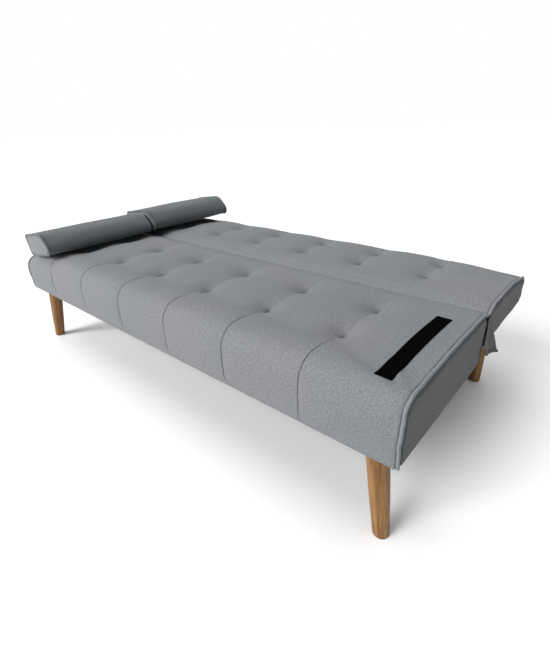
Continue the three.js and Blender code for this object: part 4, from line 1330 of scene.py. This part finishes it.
def under_sheet(name, node_name, material, sag, holes=()):
    """A flat grid at the node's own height, less a sag that is a squared half sine each way, slightly waved
    along its length. Faces whose middle lies over a hole's box and margin are cut out."""
    low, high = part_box(node_name)
    xx, yy = np.meshgrid(np.linspace(low.x, high.x, 141), np.linspace(low.y, high.y, 49), indexing="ij")
    u = (xx - low.x) / (high.x - low.x)
    v = (yy - low.y) / (high.y - low.y)
    wave = 0.8 + 0.2 * np.cos(14 * np.pi * u)
    z = (low.z + high.z) / 2 - sag * np.sin(np.pi * u) ** 2 * np.sin(np.pi * v) ** 2 * wave
    piece = grid_mesh(name, np.dstack([xx, yy, z])[::-1], material=material)
    faces = np.array([p.center[:2] for p in piece.data.polygons])
    gone = np.zeros(len(faces), bool)
    for hole_low, hole_high in holes:
        inside = faces > np.array(hole_low)[:2] - HOLE_MARGIN
        inside &= faces < np.array(hole_high)[:2] + HOLE_MARGIN
        gone |= inside.all(axis=1)
    if gone.any():
        work = bmesh.new()
        work.from_mesh(piece.data)
        work.faces.ensure_lookup_table()
        bmesh.ops.delete(work, geom=[work.faces[i] for i in np.nonzero(gone)[0]], context="FACES")
        work.to_mesh(piece.data)
        work.free()
    wall = piece.modifiers.new("thickness", "SOLIDIFY")
    wall.thickness = SHEET_THICK
    wall.offset = 0
    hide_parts(node_name)
    return piece


plates = [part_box("leg_plate_front_left"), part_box("leg_plate_front_right")]
dust = under_sheet("dust_sheet", "seat_dust_cover", black_fibre, 0.003, plates)
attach(dust, "seat")
rear_sheet = under_sheet("back_sheet", "back_rear_cover", grey_fibre, 0.002)
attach(rear_sheet, "back")
print("two stretched sheets underneath")

# %% [markdown]
# ## Bare metal
# The springs, bolts, plates and hinges are metal that has been drawn, plated or painted. What sets them
# apart is their colour and how dull they are. One noise drives roughness, tone and relief together, as wear
# does, which looks more real than three separate ones.

# %% Metal
def metal(name, colour, roughness, scratch):
    """Metal whose roughness, tone and relief all follow one noise. scratch is how fine the noise is."""
    material = paint(name, colour, roughness, 1.0)
    tree = material.node_tree
    shader = tree.nodes["Principled BSDF"]
    noise = node(tree, "ShaderNodeTexNoise", Scale=scratch, Detail=5.0, Roughness=0.7)
    link(tree, node(tree, "ShaderNodeTexCoord").outputs["Object"], noise.inputs["Vector"])
    rough = maths(tree, "MULTIPLY_ADD", noise.outputs["Fac"], 0.35, roughness - 0.15)
    link(tree, rough, shader.inputs["Roughness"])
    dull = tuple(c * 0.7 for c in colour)
    bright = tuple(min(1, c * 1.15) for c in colour)
    link(tree, ramp(tree, noise.outputs["Fac"], (0.3, dull), (0.7, bright)), shader.inputs["Base Color"])
    bump = node(tree, "ShaderNodeBump", Strength=0.1, Distance=0.0003)
    link(tree, noise.outputs["Fac"], bump.inputs["Height"])
    link(tree, bump.outputs[0], shader.inputs["Normal"])
    return material


zinc = metal("zinc_plate", (0.55, 0.55, 0.54), 0.4, 80.0)
print("metal:", zinc.name)

# %% [markdown]
# ## Webbing
# The straps across the back's frame are woven jute, thick enough to show their ribs. Two crossed waves make
# a check of raised and sunken spots, and the same check carries two tones.

# %% Webbing
def webbing():
    """Woven strap: two crossed waves, read as relief and as two tones."""
    material = paint("strap_webbing", (0.20, 0.17, 0.12), 0.9)
    tree = material.node_tree
    place = node(tree, "ShaderNodeTexCoord").outputs["Object"]
    ribs = maths(tree, "MULTIPLY", threads(tree, place, "X", 0.0025), threads(tree, place, "Y", 0.0025))
    shader = tree.nodes["Principled BSDF"]
    tones = ramp(tree, ribs, (0.1, (0.10, 0.085, 0.06)), (0.8, (0.26, 0.225, 0.16)))
    link(tree, tones, shader.inputs["Base Color"])
    bump = node(tree, "ShaderNodeBump", Strength=0.5, Distance=0.0006)
    link(tree, ribs, bump.inputs["Height"])
    link(tree, bump.outputs[0], shader.inputs["Normal"])
    return material


jute = webbing()
print("webbing:", jute.name)

# %% [markdown]
# ## Timber, springs and hinges
# The inside parts keep their CAD shapes and only need a finish: pale pine for the rails, drawn wire for the
# springs, zinc for the bolts and plates, dark steel for the ratchet, webbing for the straps. The finish is
# looked up by how a part's name starts, the longest match winning, and whatever has no match is timber.

# %% Finishes for the CAD parts
pine = wood("frame_pine", (0.62, 0.45, 0.26), (0.52, 0.35, 0.19), (0.38, 0.24, 0.12), None, 30.0, 9.0)
finishes = {
    "seat_spring": metal("drawn_wire", (0.30, 0.29, 0.28), 0.4, 90.0),
    "back_strap": jute,
    "leg_bolt": metal("zinc_bolt", (0.60, 0.60, 0.58), 0.35, 120.0),
    "leg_plate": zinc,
    "hinge_pin": metal("bright_pin", (0.58, 0.58, 0.56), 0.3, 120.0),
    "hinge": metal("black_hinge_steel", (0.06, 0.06, 0.065), 0.45, 60.0),
    "recline_pawl": metal("dark_pawl_steel", (0.12, 0.12, 0.12), 0.4, 60.0),
}
for node_name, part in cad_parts.items():
    if part.hide_render:
        continue
    start = max((key for key in finishes if node_name.startswith(key)), key=len, default=None)
    part.data.materials.clear()
    part.data.materials.append(finishes[start] if start else pine)
print("finished", sum(not p.hide_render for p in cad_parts.values()), "CAD parts")

# %% [markdown]
# ## The size of the dressed model
# Cloth swells past the solids that it stands for, but only by a little. The dressed model's box is printed.

# %% Size of the dressed model
low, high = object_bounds()
print("visual box", np.round(low, 4), np.round(high, 4))
